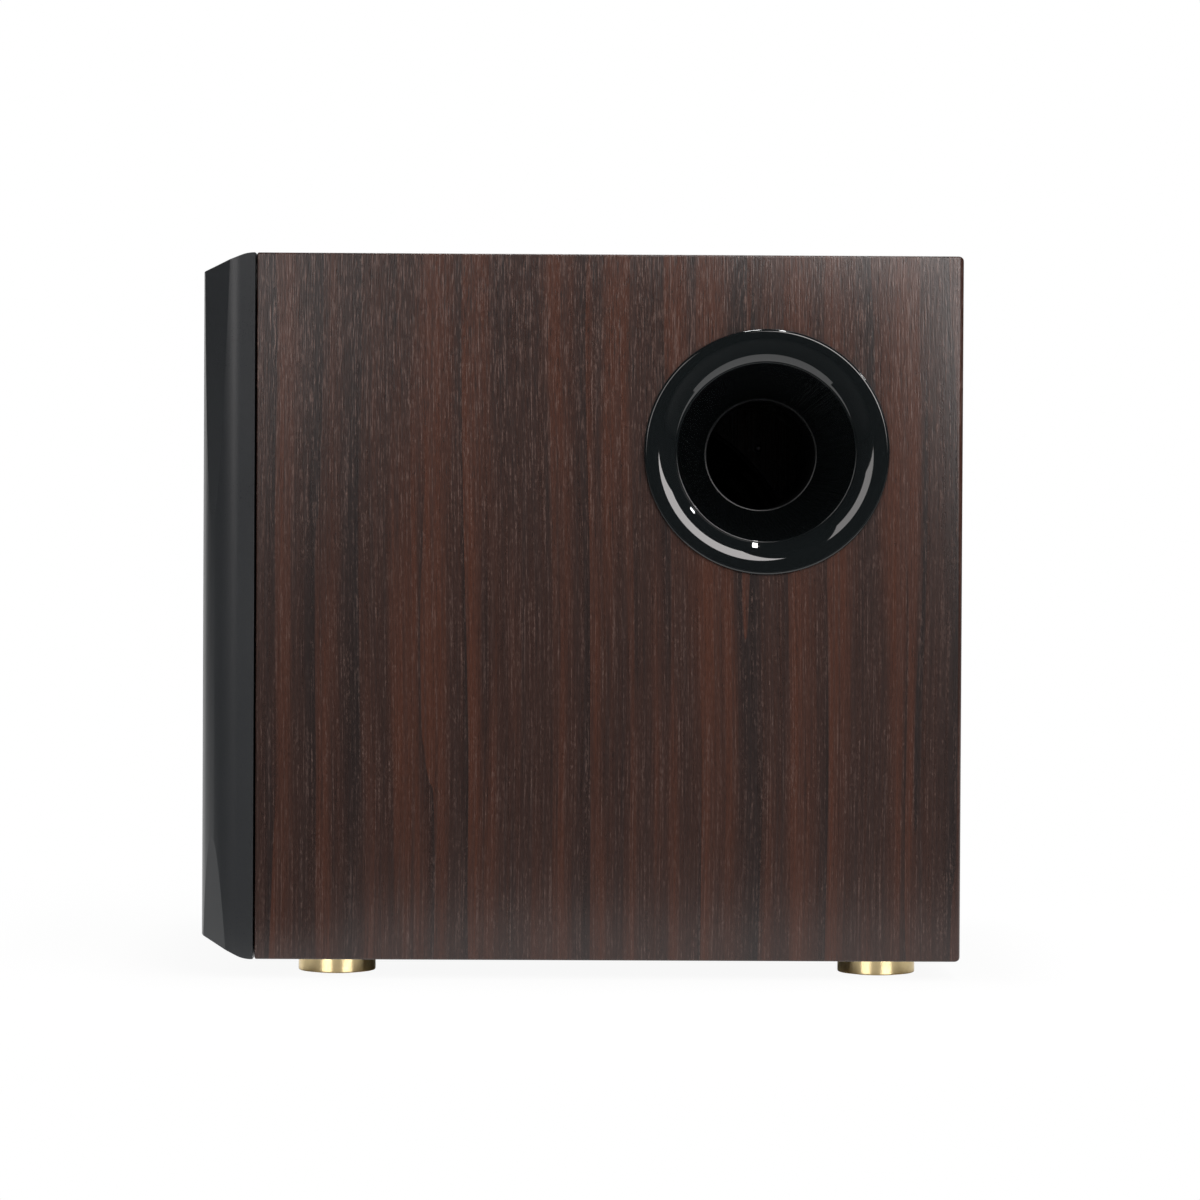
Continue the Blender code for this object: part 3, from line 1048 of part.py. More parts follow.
def make_driver_lead(amp, axis, terminal):
    """The lead from the circuit board to the driver, on one smooth curve."""
    board_back = CIRCUIT_FACE - CIRCUIT_SIZE[2] - SEAT_GAP
    corner = (CIRCUIT_AT[0] + CIRCUIT_SIZE[0] / 2 - 4 * LEAD_RADIUS, CIRCUIT_AT[1] + 4 * LEAD_RADIUS)
    bpy.context.view_layer.update()
    start = amp.matrix_world @ Vector((*corner, board_back))
    end = axis.matrix_world @ (terminal - Vector((0, 0, LEAD_RADIUS)))
    pull = (end - start).length * LEAD_PULL
    bends = [start, start + Vector((0, -pull, 0)), end + Vector((pull, 0, 0)), end]
    curve = bpy.data.curves.new("driver_lead", "CURVE")
    curve.dimensions = "3D"
    curve.bevel_depth = LEAD_RADIUS
    curve.bevel_resolution = 2
    curve.use_fill_caps = True
    spline = curve.splines.new("POLY")
    spline.points.add(LEAD_POINTS - 1)
    for k, point in enumerate(spline.points):
        t = k / (LEAD_POINTS - 1)
        weights = ((1 - t) ** 3, 3 * t * (1 - t) ** 2, 3 * t * t * (1 - t), t ** 3)
        spot = sum((weight * bend for weight, bend in zip(weights, bends)), Vector())
        point.co = (*spot, 1)
    curve.materials.append(rubber("lead_sleeve"))
    lead = bpy.data.objects.new("driver_lead", curve)
    bpy.data.collections[PARTS_COLLECTION].objects.link(lead)


def make_amplifier(back):
    amp = frame_empty("amp_face", (MIDDLE.x, REAR_EDGE + AMP_FACE_LIFT, MIDDLE.z), OUT_BACK)
    jacks = make_amp_plate(back, amp)
    make_heat_sink(amp)
    make_knobs(amp)
    make_phase_switch(amp)
    make_power_switch(amp)
    make_mains_inlet(amp)
    make_jacks(amp, jacks)
    make_electronics(amp)
    return amp


def main():
    clear_scene()
    right, left, bottom, baffle, back = make_cabinet()
    make_front_cover(baffle)
    make_feet(bottom)
    make_port(right)
    axis, terminal = make_driver(left)
    amp = make_amplifier(back)
    make_driver_lead(amp, axis, terminal)


main()
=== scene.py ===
"""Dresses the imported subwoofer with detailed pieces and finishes, on a plain stage."""

import math

import bmesh
import bpy
from bpy.props import FloatProperty, FloatVectorProperty, IntProperty, PointerProperty
from bpy.types import Operator, Panel, PropertyGroup
from mathutils import Matrix, Vector


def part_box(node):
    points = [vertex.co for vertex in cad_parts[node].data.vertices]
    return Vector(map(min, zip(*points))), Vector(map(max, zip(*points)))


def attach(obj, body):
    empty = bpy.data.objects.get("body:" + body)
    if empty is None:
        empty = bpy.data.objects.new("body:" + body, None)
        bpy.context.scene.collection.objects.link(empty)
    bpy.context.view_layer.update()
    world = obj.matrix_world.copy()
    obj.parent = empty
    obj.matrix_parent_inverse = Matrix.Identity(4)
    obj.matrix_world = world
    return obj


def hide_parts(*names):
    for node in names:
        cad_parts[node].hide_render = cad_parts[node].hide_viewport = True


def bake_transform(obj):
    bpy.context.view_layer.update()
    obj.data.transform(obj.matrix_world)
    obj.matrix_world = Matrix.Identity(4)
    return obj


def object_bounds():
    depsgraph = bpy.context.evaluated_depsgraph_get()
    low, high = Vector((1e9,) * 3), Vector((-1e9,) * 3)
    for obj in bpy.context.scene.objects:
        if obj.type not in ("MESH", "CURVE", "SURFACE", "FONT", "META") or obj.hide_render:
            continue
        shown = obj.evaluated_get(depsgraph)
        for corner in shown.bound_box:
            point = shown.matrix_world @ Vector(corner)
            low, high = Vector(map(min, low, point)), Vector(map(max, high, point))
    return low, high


bl_info = {
    "name": "Subwoofer looks",
    "version": (1, 0, 0),
    "blender": (4, 5, 0),
    "location": "3D View > Sidebar > Subwoofer",
    "description": "Dresses the packed subwoofer with detailed pieces and finishes",
    "category": "Object",
}

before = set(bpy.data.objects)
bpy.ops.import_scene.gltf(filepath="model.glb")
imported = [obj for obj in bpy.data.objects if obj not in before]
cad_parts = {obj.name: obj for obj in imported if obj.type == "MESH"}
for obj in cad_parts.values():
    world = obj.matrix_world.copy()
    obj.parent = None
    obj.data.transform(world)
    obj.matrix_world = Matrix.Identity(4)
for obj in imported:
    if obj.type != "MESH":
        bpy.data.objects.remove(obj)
CAD_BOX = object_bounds()

# The cabinet's outer faces, from the frame.
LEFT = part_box("left_side_panel")[0].x
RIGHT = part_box("right_side_panel")[1].x
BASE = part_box("bottom_panel")[0].z
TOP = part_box("top_panel")[1].z
FRONT, REAR = (corner.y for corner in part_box("right_side_panel"))
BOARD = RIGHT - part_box("right_side_panel")[0].x
MIDDLE = Vector(((LEFT + RIGHT) / 2, (FRONT + REAR) / 2, (BASE + TOP) / 2))
WIDTH = RIGHT - LEFT
HEIGHT = TOP - BASE

PLATE_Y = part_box("amp_plate")[1].y      # the amplifier plate's outer face
FEET = ("front_left", "front_right", "rear_left", "rear_right")
SCREWS = range(1, 5)     # the numbers of the driver's and the amplifier's screws

SEAT = 0.0003            # gap between pieces that rest on each other
CUT = 0.05               # how far a tool that cuts through a board reaches each way
PROUD = 0.001            # how far other tools pass the faces that they cut or join
PORT_LAP = 0.0036        # how far the port's flange covers the board round its hole

# Steps in a full turn
FINE_STEPS = 160         # round pieces seen close
HOLE_STEPS = 128         # large holes
RING_STEPS = 96          # pieces of middling size
SOCKET_STEPS = 48        # phono jacks
SMALL_STEPS = 40
PIN_STEPS = 20


def centre(node):
    low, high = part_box(node)
    return (low + high) / 2


def span(node):
    """A node's size along X, Y and Z."""
    low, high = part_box(node)
    return high - low


def at(x, y, z=0):
    return Matrix.Translation((x, y, z))


def placing(point, x, y, z):
    """A placing at a point, with the ways that its axes run."""
    return Matrix.Translation(point) @ Matrix((x, y, z)).transposed().to_4x4()


def facing(point, out):
    """A placing at a point of an upright face: Z comes out of the face and Y points up."""
    z = Vector(out)
    y = Vector((0, 0, 1))
    return placing(point, y.cross(z), y, z)


PORT_AXIS = facing((RIGHT, centre("port_flare").y, centre("port_flare").z), (1, 0, 0))
DRIVER_AXIS = facing((LEFT, centre("grille").y, centre("grille").z), (-1, 0, 0))
AMP_FACE = facing((centre("amp_plate").x, PLATE_Y, centre("amp_plate").z), (0, 1, 0))


def on_amp(node):
    """A node's middle on the amplifier's face, as across and up."""
    spot = AMP_FACE.inverted() @ centre(node)
    return spot.x, spot.y


def amp_place(node):
    """A placing at a node's middle on the amplifier's face."""
    return AMP_FACE @ at(*on_amp(node))


def amp_reach(node):
    """How far a node's back and front stand out from the amplifier's face."""
    low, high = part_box(node)
    return low.y - PLATE_Y, high.y - PLATE_Y


def srgb(red, green, blue):
    """A colour given as it shows on a screen, from 0 to 255, as the linear colour that it stands for."""
    shares = (channel / 255 for channel in (red, green, blue))
    return tuple(s / 12.92 if s <= 0.04045 else ((s + 0.055) / 1.055) ** 2.4 for s in shares)


def shade(colour, part, lift=0.0):
    """A colour at a part of its strength, then lifted towards white."""
    return tuple(min(1, channel * part + lift) for channel in colour)


def size(name, description, default):
    return FloatProperty(name=name, description=description, default=default, min=0, precision=5,
                         unit="LENGTH")


def offset(name, description, default):
    return FloatProperty(name=name, description=description, default=default, precision=5, unit="LENGTH")


def amount(name, description, default):
    return FloatProperty(name=name, description=description, default=default, min=0)


def tally(name, description, default):
    return IntProperty(name=name, description=description, default=default, min=3)


def share(name, description, default):
    return FloatProperty(name=name, description=description, default=default, min=0, max=1,
                         subtype="FACTOR")


def tint(name, description, default):
    return FloatVectorProperty(name=name, description=description, default=default, min=0, max=1,
                               size=3, subtype="COLOR")


def angle(name, description, default):
    return FloatProperty(name=name, description=description, default=math.radians(default),
                         subtype="ANGLE")


class CabinetLook(PropertyGroup):
    """Sizes and colours of the wrapped boards."""

    fold: size("Fold radius", "Rounding where the wrapped sheet folds over a corner", 0.0009)
    front_edge: size("Front edge radius", "Rounding of the boards' front edges", 0.0007)
    rear_edge: size("Rear edge radius", "Rounding of the boards' rear edges", 0.0022)
    brown: tint("Brown", "Main colour of the wood print", srgb(47, 30, 25))
    red: tint("Red", "Reddish bands of the wood print", srgb(65, 36, 25))
    dark: tint("Dark", "Dark bands of the wood print", srgb(31, 24, 23))
    dash: tint("Dashes", "Short pale dashes of the wood print", srgb(94, 76, 70))
    pore: tint("Pores", "Short dark pores of the wood print", srgb(20, 15, 14))
    roughness: share("Roughness", "Roughness of the vinyl", 0.28)
    drift: size("Grain drift", "How far the grain lines wander", 0.010)
    back: tint("Back board", "Colour of the back board's plain vinyl", srgb(30, 30, 31))


class CoverLook(PropertyGroup):
    """Sizes and colours of the moulded front cover."""

    wall: size("Wall", "Thickness of the cover", 0.003)
    corner: size("Corner radius", "Rounding of the upright corners", 0.016)
    top_run: size("Top chamfer depth", "Depth of the top chamfer from front to back", 0.0188)
    top_drop: size("Top chamfer drop", "Height of the top chamfer", 0.0073)
    top_ridge: size("Top ridge radius", "Rounding behind the top chamfer", 0.015)
    base_run: size("Base chamfer depth", "Depth of the base chamfer from front to back", 0.0180)
    base_rise: size("Base chamfer rise", "Height of the base chamfer", 0.0090)
    base_ridge: size("Base ridge radius", "Rounding behind the base chamfer", 0.013)
    upper_length: size("Upper facet length", "Length of the corner facets at the top", 0.109)
    upper_tilt: angle("Upper facet tilt", "Lean of the corner facets at the top", 1.07)
    lower_length: size("Lower facet length", "Length of the corner facets at the base", 0.049)
    lower_tilt: angle("Lower facet tilt", "Lean of the corner facets at the base", 2.0)
    edge: size("Edge radius", "Rounding of the moulded edges", 0.0006)
    colour: tint("Colour", "Colour of the moulded plastic", srgb(35, 37, 39))
    roughness: share("Roughness", "Roughness of the moulded plastic", 0.30)


class PortLook(PropertyGroup):
    """Sizes and colours of the flared port."""

    edge: size("Flange edge radius", "Rounding of the flange's rim", 0.0013)
    throat: size("Throat radius", "Radius where the flare meets the taper", 0.0367)
    depth: size("Flare depth", "Depth of the curved mouth", 0.0044)
    curve: amount("Flare curve", "How late the mouth turns in", 2.6)
    taper: size("Taper length", "Length of the taper behind the mouth", 0.047)
    duct: size("Duct radius", "Inner radius of the straight duct", 0.0226)
    ledge: size("Ledge", "Part of the duct's end that shows", 0.0007)
    step: size("Throat step", "Step between the flare and the taper", 0.0005)
    colour: tint("Colour", "Colour of the polished plastic", srgb(16, 19, 20))
    roughness: share("Roughness", "Roughness of the polished plastic", 0.035)


class FeetLook(PropertyGroup):
    """Sizes and colours of the turned feet."""

    edge: size("Edge radius", "Rounding of the foot's edges", 0.0006)
    colour: tint("Colour", "Colour of the gold plating", (0.95, 0.76, 0.42))
    roughness: share("Roughness", "Roughness of the gold plating", 0.36)
    pad: tint("Pad colour", "Colour of the soft pads", srgb(34, 33, 32))


class DriverLook(PropertyGroup):
    """Sizes and colours of the driver."""

    cone_outer: size("Cone radius", "Outer radius of the cone's rim", 0.074)
    cone_rim: size("Cone rim radius", "Radius where the cone starts to fall", 0.068)
    cone_neck: size("Cone neck radius", "Radius at the voice coil", 0.02025)
    cone_front: size("Cone front depth", "Depth of the cone's rim below the board's face", 0.0023)
    cone_depth: size("Cone depth", "Depth of the cone from rim to neck", 0.029)
    paper: size("Paper", "Thickness of the cone and the dust cap", 0.0009)
    cap_radius: size("Dust cap radius", "Radius of the dust cap", 0.030)
    cap_rise: size("Dust cap rise", "Height of the dust cap", 0.009)
    roll_centre: size("Surround radius", "Radius of the middle of the surround's roll", 0.081)
    roll: size("Surround roll", "Radius of the surround's roll", 0.007)
    roll_inner: size("Surround inner radius", "Inner radius of the surround", 0.068)
    roll_outer: size("Surround outer radius", "Outer radius of the surround", 0.0945)
    rubber: size("Rubber", "Thickness of the surround", 0.0009)
    trim_inner: size("Trim ring inner radius", "Inner radius of the trim ring", 0.0948)
    trim_outer: size("Trim ring outer radius", "Outer radius of the trim ring", 0.1045)
    hole: size("Hole radius", "Radius of the board's hole for the driver", 0.093)
    rebate: size("Rebate depth", "Depth of the board's rebate for the driver", 0.0055)
    sectors: tally("Sectors", "Pieces that each bending ring is made of", 24)
    cone_colour: tint("Cone colour", "Colour of the pressed paper", srgb(44, 44, 46))
    cap_colour: tint("Dust cap colour", "Colour of the dust cap", srgb(32, 32, 34))
    rubber_colour: tint("Surround colour", "Colour of the rubber surround", srgb(28, 28, 29))


class GrilleLook(PropertyGroup):
    """Sizes and colours of the grille."""

    pitch: size("Pitch", "Distance between holes", 0.0052)
    bar: size("Bar", "Width of metal between holes", 0.0013)
    radius: size("Dome radius", "Radius of the dome's foot", 0.106)
    rise: size("Dome rise", "Height of the dome", 0.0125)
    sheet: size("Sheet", "Thickness of the sheet", 0.0012)
    rim: size("Rim", "Width of the flat rim", 0.0033)
    colour: tint("Colour", "Colour of the paint", srgb(26, 27, 28))


class AmpLook(PropertyGroup):
    """Sizes and colours of the amplifier panel."""

    corner: size("Plate corner", "Rounding of the plate's corners", 0.004)
    plate: size("Plate", "Thickness of the plate", 0.002)
    bevel: size("Plate edge", "Bevel on the plate's edge", 0.0004)
    fin_pitch: size("Fin pitch", "Distance between the heat sink's fins", 0.0094)
    fin: size("Fin", "Thickness of the heat sink's fins", 0.0016)
    fin_base: size("Fin base", "Thickness of the heat sink's base", 0.0025)
    jack_spacing: size("Jack spacing", "Distance between phono jacks", 0.015)
    flutes: tally("Flutes", "Flutes round each knob", 20)
    colour: tint("Plate colour", "Colour of the plate's paint", srgb(36, 37, 38))
    fin_colour: tint("Heat sink colour", "Colour of the anodised heat sink", srgb(44, 44, 47))
    knob_colour: tint("Knob colour", "Colour of the knobs", srgb(30, 30, 31))
    print_colour: tint("Print colour", "Colour of the printed marks", srgb(214, 214, 210))


class StudioLook(PropertyGroup):
    """Camera, lamps and floor."""

    camera: FloatVectorProperty(name="Camera place", description="Where the camera stands", size=3,
                                default=(1.7284, -0.0115, 0.1724), subtype="XYZ", unit="LENGTH")
    yaw: angle("Camera yaw", "Turn of the camera from the square view", 0.525)
    tilt: angle("Camera tilt", "How far the camera looks down", 0.684)
    roll: angle("Camera roll", "Turn of the camera about its view", 0.295)
    lens: FloatProperty(name="Lens", description="Focal length on a sensor 36 mm wide", default=119.33,
                        unit="CAMERA")
    key: amount("Key strength", "Brightness of the two large soft lamps", 5.0)
    spot: amount("Ceiling strength", "Brightness of the ceiling lamps", 60)
    fill: amount("Fill strength", "Brightness of the lamps behind", 1.6)
    strip: amount("Strip strength", "Brightness of the low strip lamps at the feet", 24)
    strip_height: size("Strip height", "Height of the low strip lamps", 0.12)
    sky: amount("Sky", "Even light from all round", 0.35)
    floor: tint("Floor", "Colour of the floor", (0.88, 0.88, 0.88))
    clear: share("Clear floor", "How white the floor shows close to the object, over its shadow", 0.93)
    sheet_front: size("Sheet front", "Where the pale sheet that gloss shows ends in front", 0.255)
    sheet_side: size("Sheet side", "Where that sheet ends at its sides", 0.19)
    sheet_low: offset("Sheet left", "Left end of the sheet's front", -0.12)
    sheet_high: offset("Sheet right", "Right end of the sheet's front", 0.36)


class Value:
    """A socket of a material that can be used in Python expressions."""

    def __init__(self, paint, socket):
        self.paint = paint
        self.socket = socket

    def __add__(self, other):
        return self.paint.math("ADD", self, other)

    __radd__ = __add__

    def __sub__(self, other):
        return self.paint.math("SUBTRACT", self, other)

    def __rsub__(self, other):
        return self.paint.math("SUBTRACT", other, self)

    def __mul__(self, other):
        return self.paint.math("MULTIPLY", self, other)

    __rmul__ = __mul__

    def __truediv__(self, other):
        return self.paint.math("DIVIDE", self, other)

    def __rtruediv__(self, other):
        return self.paint.math("DIVIDE", other, self)


class Paint:
    """A node tree that is being filled: it adds nodes and feeds their sockets."""

    def __init__(self, tree):
        self.tree = tree

    def node(self, kind, settings, inputs, output=0):
        """Adds a node with its settings, then the values or links of its sockets, and returns an output."""
        made = self.tree.nodes.new(kind)
        for name, value in settings.items():
            setattr(made, name, value)
        for name, value in inputs.items():
            self.feed(made.inputs[name], value)
        return Value(self, made.outputs[output])

    def feed(self, socket, value):
        if isinstance(value, Value):
            self.tree.links.new(value.socket, socket)
        elif socket.type == "RGBA" and len(value) == 3:
            socket.default_value = (*value, 1)
        else:
            socket.default_value = value

    def math(self, operation, *values):
        return self.node("ShaderNodeMath", {"operation": operation}, dict(enumerate(values)))

    def place(self):
        return self.node("ShaderNodeTexCoord", {}, {}, "Object")

    def dot(self, vector, direction):
        return self.node("ShaderNodeVectorMath", {"operation": "DOT_PRODUCT"}, {0: vector, 1: direction},
                         "Value")

    def stretch(self, vector, scales):
        return self.node("ShaderNodeVectorMath", {"operation": "MULTIPLY"}, {0: vector, 1: scales})

    def join(self, x, y, z):
        return self.node("ShaderNodeCombineXYZ", {}, {"X": x, "Y": y, "Z": z})

    def axes(self, vector):
        return [self.node("ShaderNodeSeparateXYZ", {}, {"Vector": vector}, axis) for axis in "XYZ"]

    def noise(self, vector, scale=1.0, detail=2.0, roughness=0.5):
        return self.node("ShaderNodeTexNoise", {}, {"Vector": vector, "Scale": scale, "Detail": detail,
                                                    "Roughness": roughness})

    def cells(self, vector, scale, feature="F1"):
        return self.node("ShaderNodeTexVoronoi", {"feature": feature}, {"Vector": vector, "Scale": scale})

    def between(self, value, low, high, first=0.0, last=1.0):
        """Value taken from the range low to high to the range first to last, eased and held at its ends."""
        return self.node("ShaderNodeMapRange", {"interpolation_type": "SMOOTHSTEP"},
                         {"Value": value, "From Min": low, "From Max": high, "To Min": first, "To Max": last})

    def mix(self, factor, first, second):
        return self.node("ShaderNodeMix", {"data_type": "RGBA"}, {0: factor, 6: first, 7: second}, 2)

    def bump(self, height, distance, strength):
        return self.node("ShaderNodeBump", {}, {"Height": height, "Distance": distance, "Strength": strength})


class Finish(Paint):
    """A surface material with one Principled shader."""

    def __init__(self, name):
        self.material = bpy.data.materials.new(name)
        self.material.use_nodes = True
        super().__init__(self.material.node_tree)
        self.shader = self.tree.nodes["Principled BSDF"]
        self.spot = self.place()

    def set(self, **sockets):
        for name, value in sockets.items():
            self.feed(self.shader.inputs[name.replace("_", " ").title().replace("Ior", "IOR")], value)
        return self.material


def wood_vinyl(name, look, out, face, along, start):
    """Printed wood grain, folded over a board's ends.

    Out is the way that the board faces and face how far out it lies. Along is the way that the grain runs and
    start where this board's print begins. Dashes and pores stand out more towards the top of the object:
    painted highlights and shade, as where lamp light catches the grain, that fade towards the base.
    """
    paint = Finish(name)
    run = paint.dot(paint.spot, along) + start
    across = paint.dot(paint.spot, tuple(Vector((0, 1, 0)) - Vector(out))) + face
    wander = paint.noise(paint.join(across * 7, run * 3, 0.5), detail=1) - 0.5
    line = across + wander * look.drift
    bands = paint.noise(paint.join(line * 80, run * 2.2, 3.1), detail=2, roughness=0.5)
    tones = paint.noise(paint.join(line * 75, run * 3, 23.4), detail=1, roughness=0.5)
    rings = paint.math("FRACT", line * 62 + bands * 2)
    late = paint.between(rings, 0.30, 0.98) * paint.between(tones, 0.36, 0.60)
    lines = paint.noise(paint.join(line * 1000, run * 9, 7.7), detail=2, roughness=0.7)
    hairs = paint.noise(paint.join(line * 1900, run * 18, 17.9), detail=1)
    dashes = paint.noise(paint.join(line * 2500, run * 140, 41.3), detail=1, roughness=0.6)
    grain = paint.noise(paint.join(line * 1900, run * 700, 2.6), detail=0)
    # Painted highlight and shade: the pale dashes and dark pores are made stronger towards the top, where
    # lamp light would catch the grain
    painted_glint_top = paint.between(paint.dot(paint.spot, (0, 0, 1)), 0.12, 0.29, 0.3, 1)
    colour = paint.mix(paint.between(bands, 0.40, 0.60), look.brown, look.red)
    colour = paint.mix(late * 0.9, colour, look.dark)
    colour = paint.mix(paint.between(lines, 0.40, 0.74, 0, 0.4), colour, look.dark)
    tone = (hairs - 0.5) * 0.9 + (dashes - 0.5) * painted_glint_top * 1.7 + (grain - 0.5) * 0.5
    pale = paint.between(tone, 0, 0.6)
    pores = paint.between(tone, -0.6, 0, 1, 0)
    colour = paint.mix(pale * 0.9, colour, look.dash)
    colour = paint.mix(pores * 0.8, colour, look.pore)
    return paint.set(base_color=colour, roughness=look.roughness + (lines - 0.5) * 0.12 - pale * 0.08,
                     normal=paint.bump(lines * 0.2 + pale - pores, 0.00003, 0.6))


def moulded(name, colour, roughness):
    """Moulded plastic with a fine sparkle-eroded grain."""
    paint = Finish(name)
    grit = paint.noise(paint.spot, 2600, detail=2)
    broad = paint.noise(paint.spot, 14, detail=3)
    pale = paint.between(grit, 0.3, 0.7) * 0.6 + broad * 0.4
    return paint.set(base_color=paint.mix(pale, colour, shade(colour, 1.35, 0.002)),
                     roughness=roughness + (broad - 0.5) * 0.10 + (grit - 0.5) * 0.08,
                     normal=paint.bump(grit, 0.00002, 0.6))


def polished(name, colour, roughness):
    """Polished black plastic with faint haze and dust."""
    paint = Finish(name)
    haze = paint.noise(paint.spot, 35, detail=4, roughness=0.6)
    dust = paint.between(paint.noise(paint.spot, 1900, detail=1), 0.76, 0.84)
    return paint.set(base_color=paint.mix(dust * 0.35, colour, shade(colour, 1, 0.03)),
                     roughness=roughness + paint.between(haze, 0.4, 0.75) * 0.03 + dust * 0.2,
                     coat_weight=0.5, coat_roughness=0.02)


def turned_metal(name, colour, roughness):
    """Plated metal with fine lines from turning round its own Z axis, which spread its highlights."""
    paint = Finish(name)
    lines = 2600
    x, y, z = paint.axes(paint.spot)
    reach = paint.math("SQRT", x * x + y * y)
    ridges = paint.noise(paint.join(reach * lines, z * lines, 0.0), detail=2)
    stain = paint.noise(paint.spot, 130, detail=4)
    worn = paint.between(stain, 0.4, 0.7, 0, 0.5)
    return paint.set(base_color=paint.mix(worn, colour, shade(colour, 0.80)), metallic=1.0,
                     roughness=roughness + (ridges - 0.5) * 0.12 + (stain - 0.5) * 0.08,
                     anisotropic=0.98, anisotropic_rotation=0.25,
                     normal=paint.bump(ridges, 0.000012, 0.5))


def painted_metal(name, colour, roughness):
    """Textured paint on sheet metal."""
    paint = Finish(name)
    orange = paint.noise(paint.spot, 1500, detail=2)
    speck = paint.cells(paint.spot, 2400)
    broad = paint.noise(paint.spot, 20, detail=3)
    pale = paint.between(speck, 0.1, 0.6, 0.55, 0) + broad * 0.2
    return paint.set(base_color=paint.mix(pale, colour, shade(colour, 1.5, 0.004)),
                     roughness=roughness + (broad - 0.5) * 0.12 + (orange - 0.5) * 0.1,
                     normal=paint.bump(orange, 0.00004, 0.7))


def bare_metal(name, colour, roughness, brushed=(900, 900, 40), metallic=1.0):
    """Plated, anodised or bare metal, brushed along one of its axes."""
    paint = Finish(name)
    lines = paint.noise(paint.stretch(paint.spot, brushed), detail=3)
    stain = paint.noise(paint.spot, 60, detail=4)
    worn = paint.between(stain, 0.35, 0.75, 0, 0.7)
    return paint.set(base_color=paint.mix(worn, colour, shade(colour, 0.72)), metallic=metallic,
                     roughness=roughness + (lines - 0.5) * 0.25 + (stain - 0.5) * 0.15,
                     normal=paint.bump(lines, 0.00001, 0.5))


def soft_rubber(name, colour, roughness=0.55):
    """Matt rubber with a faint bloom."""
    paint = Finish(name)
    bloom = paint.noise(paint.spot, 45, detail=4, roughness=0.6)
    pits = paint.noise(paint.spot, 2200, detail=1)
    pale = paint.between(bloom, 0.4, 0.8, 0, 0.6)
    return paint.set(base_color=paint.mix(pale, colour, shade(colour, 1.7, 0.006)),
                     roughness=roughness + (bloom - 0.5) * 0.2,
                     normal=paint.bump(pits, 0.00002, 0.5))


def fibrous(name, colour, pale, scale, depth=0.00012, roughness=0.85):
    """Pressed paper, felt, foam or fibreboard: crossing fibres and small pits."""
    paint = Finish(name)
    drawn = 0.16
    ways = (((1, 1, drawn), 1), ((drawn, 1, 1), 1.15), ((1, drawn, 1), 0.9))
    one, two, three = [paint.noise(paint.stretch(paint.spot, way), scale * part, detail=4, roughness=0.7)
                       for way, part in ways]
    fibres = (one + two + three) / 3
    return paint.set(base_color=paint.mix(paint.between(fibres, 0.38, 0.62), colour, pale),
                     roughness=roughness + (fibres - 0.5) * 0.3,
                     normal=paint.bump(fibres, depth, 0.8))


def leather_vinyl(name, colour):
    """Plain vinyl with a pebbled grain."""
    paint = Finish(name)
    pebble = paint.cells(paint.spot, 900)
    crease = paint.noise(paint.spot, 420, detail=3)
    low = paint.between(pebble, 0.1, 0.7)
    return paint.set(base_color=paint.mix(low, shade(colour, 1.5, 0.004), colour),
                     roughness=0.5 + (crease - 0.5) * 0.3,
                     normal=paint.bump(crease - pebble * 0.8, 0.0001, 0.6))


def woven(name, colour, pale):
    """Open cloth stiffened with resin, woven across X."""
    paint = Finish(name)
    pitch = 0.0006
    weft, warp = [paint.math("SINE", way * (math.tau / pitch)) for way in paint.axes(paint.spot)[1:]]
    weave = weft * warp * 0.5 + 0.5
    stain = paint.noise(paint.spot, 90, detail=3)
    return paint.set(base_color=paint.mix(weave * 0.6 + stain * 0.4, colour, pale),
                     roughness=0.8 + (stain - 0.5) * 0.2, normal=paint.bump(weave, 0.0001, 0.7))


def wound_wire(name, colour, direction, pitch):
    """Enamelled wire laid in close turns. Direction is across the turns."""
    paint = Finish(name)
    turns = paint.math("SINE", paint.dot(paint.spot, direction) * (math.tau / pitch)) * 0.5 + 0.5
    stain = paint.noise(paint.spot, 160, detail=3)
    return paint.set(base_color=paint.mix(turns * 0.75 + stain * 0.25, shade(colour, 0.45), colour),
                     metallic=1.0, roughness=0.38 + (stain - 0.5) * 0.2,
                     normal=paint.bump(turns, 0.0001, 0.8))


def circuit_resin(name, colour, track):
    """Green circuit board with faint tracks and solder points."""
    paint = Finish(name)
    blocks = paint.cells(paint.stretch(paint.spot, (1, 0, 1)), 120, "DISTANCE_TO_EDGE")
    points = paint.cells(paint.stretch(paint.spot, (1, 0, 1)), 210)
    tracks = paint.between(blocks, 0.02, 0.08, 1, 0)
    solder = paint.between(points, 0.16, 0.22, 1, 0)
    base = paint.mix(tracks * 0.6, colour, track)
    return paint.set(base_color=paint.mix(solder, base, (0.6, 0.6, 0.58)), metallic=solder * 0.9,
                     roughness=0.35 + tracks * 0.15, normal=paint.bump(tracks + solder, 0.00008, 0.6))


def printed(name, colour):
    """Screen print with slightly uneven cover."""
    paint = Finish(name)
    cover = paint.noise(paint.spot, 1800, detail=3)
    worn = paint.between(cover, 0.35, 0.7)
    return paint.set(base_color=paint.mix(worn, colour, shade(colour, 0.78)),
                     roughness=0.5 + (cover - 0.5) * 0.2)


def arc(middle, radii, start, end, steps):
    """Points of an ellipse from one angle in degrees to another."""
    turns = [math.radians(start + (end - start) * k / steps) for k in range(steps + 1)]
    return [(middle[0] + radii[0] * math.cos(t), middle[1] + radii[1] * math.sin(t)) for t in turns]


def sheet(line, thickness):
    """The section of a sheet whose middle follows a line of (radius, height) points."""
    points = [Vector(point) for point in line]
    front, back = [], []
    for k, point in enumerate(points):
        way = points[min(k + 1, len(points) - 1)] - points[max(k - 1, 0)]
        normal = Vector((-way.y, way.x)).normalized()
        if point.x == 0:
            normal = Vector((0, 1))
        front.append(tuple(point + normal * thickness / 2))
        back.append(tuple(point - normal * thickness / 2))
    return front + back[::-1]


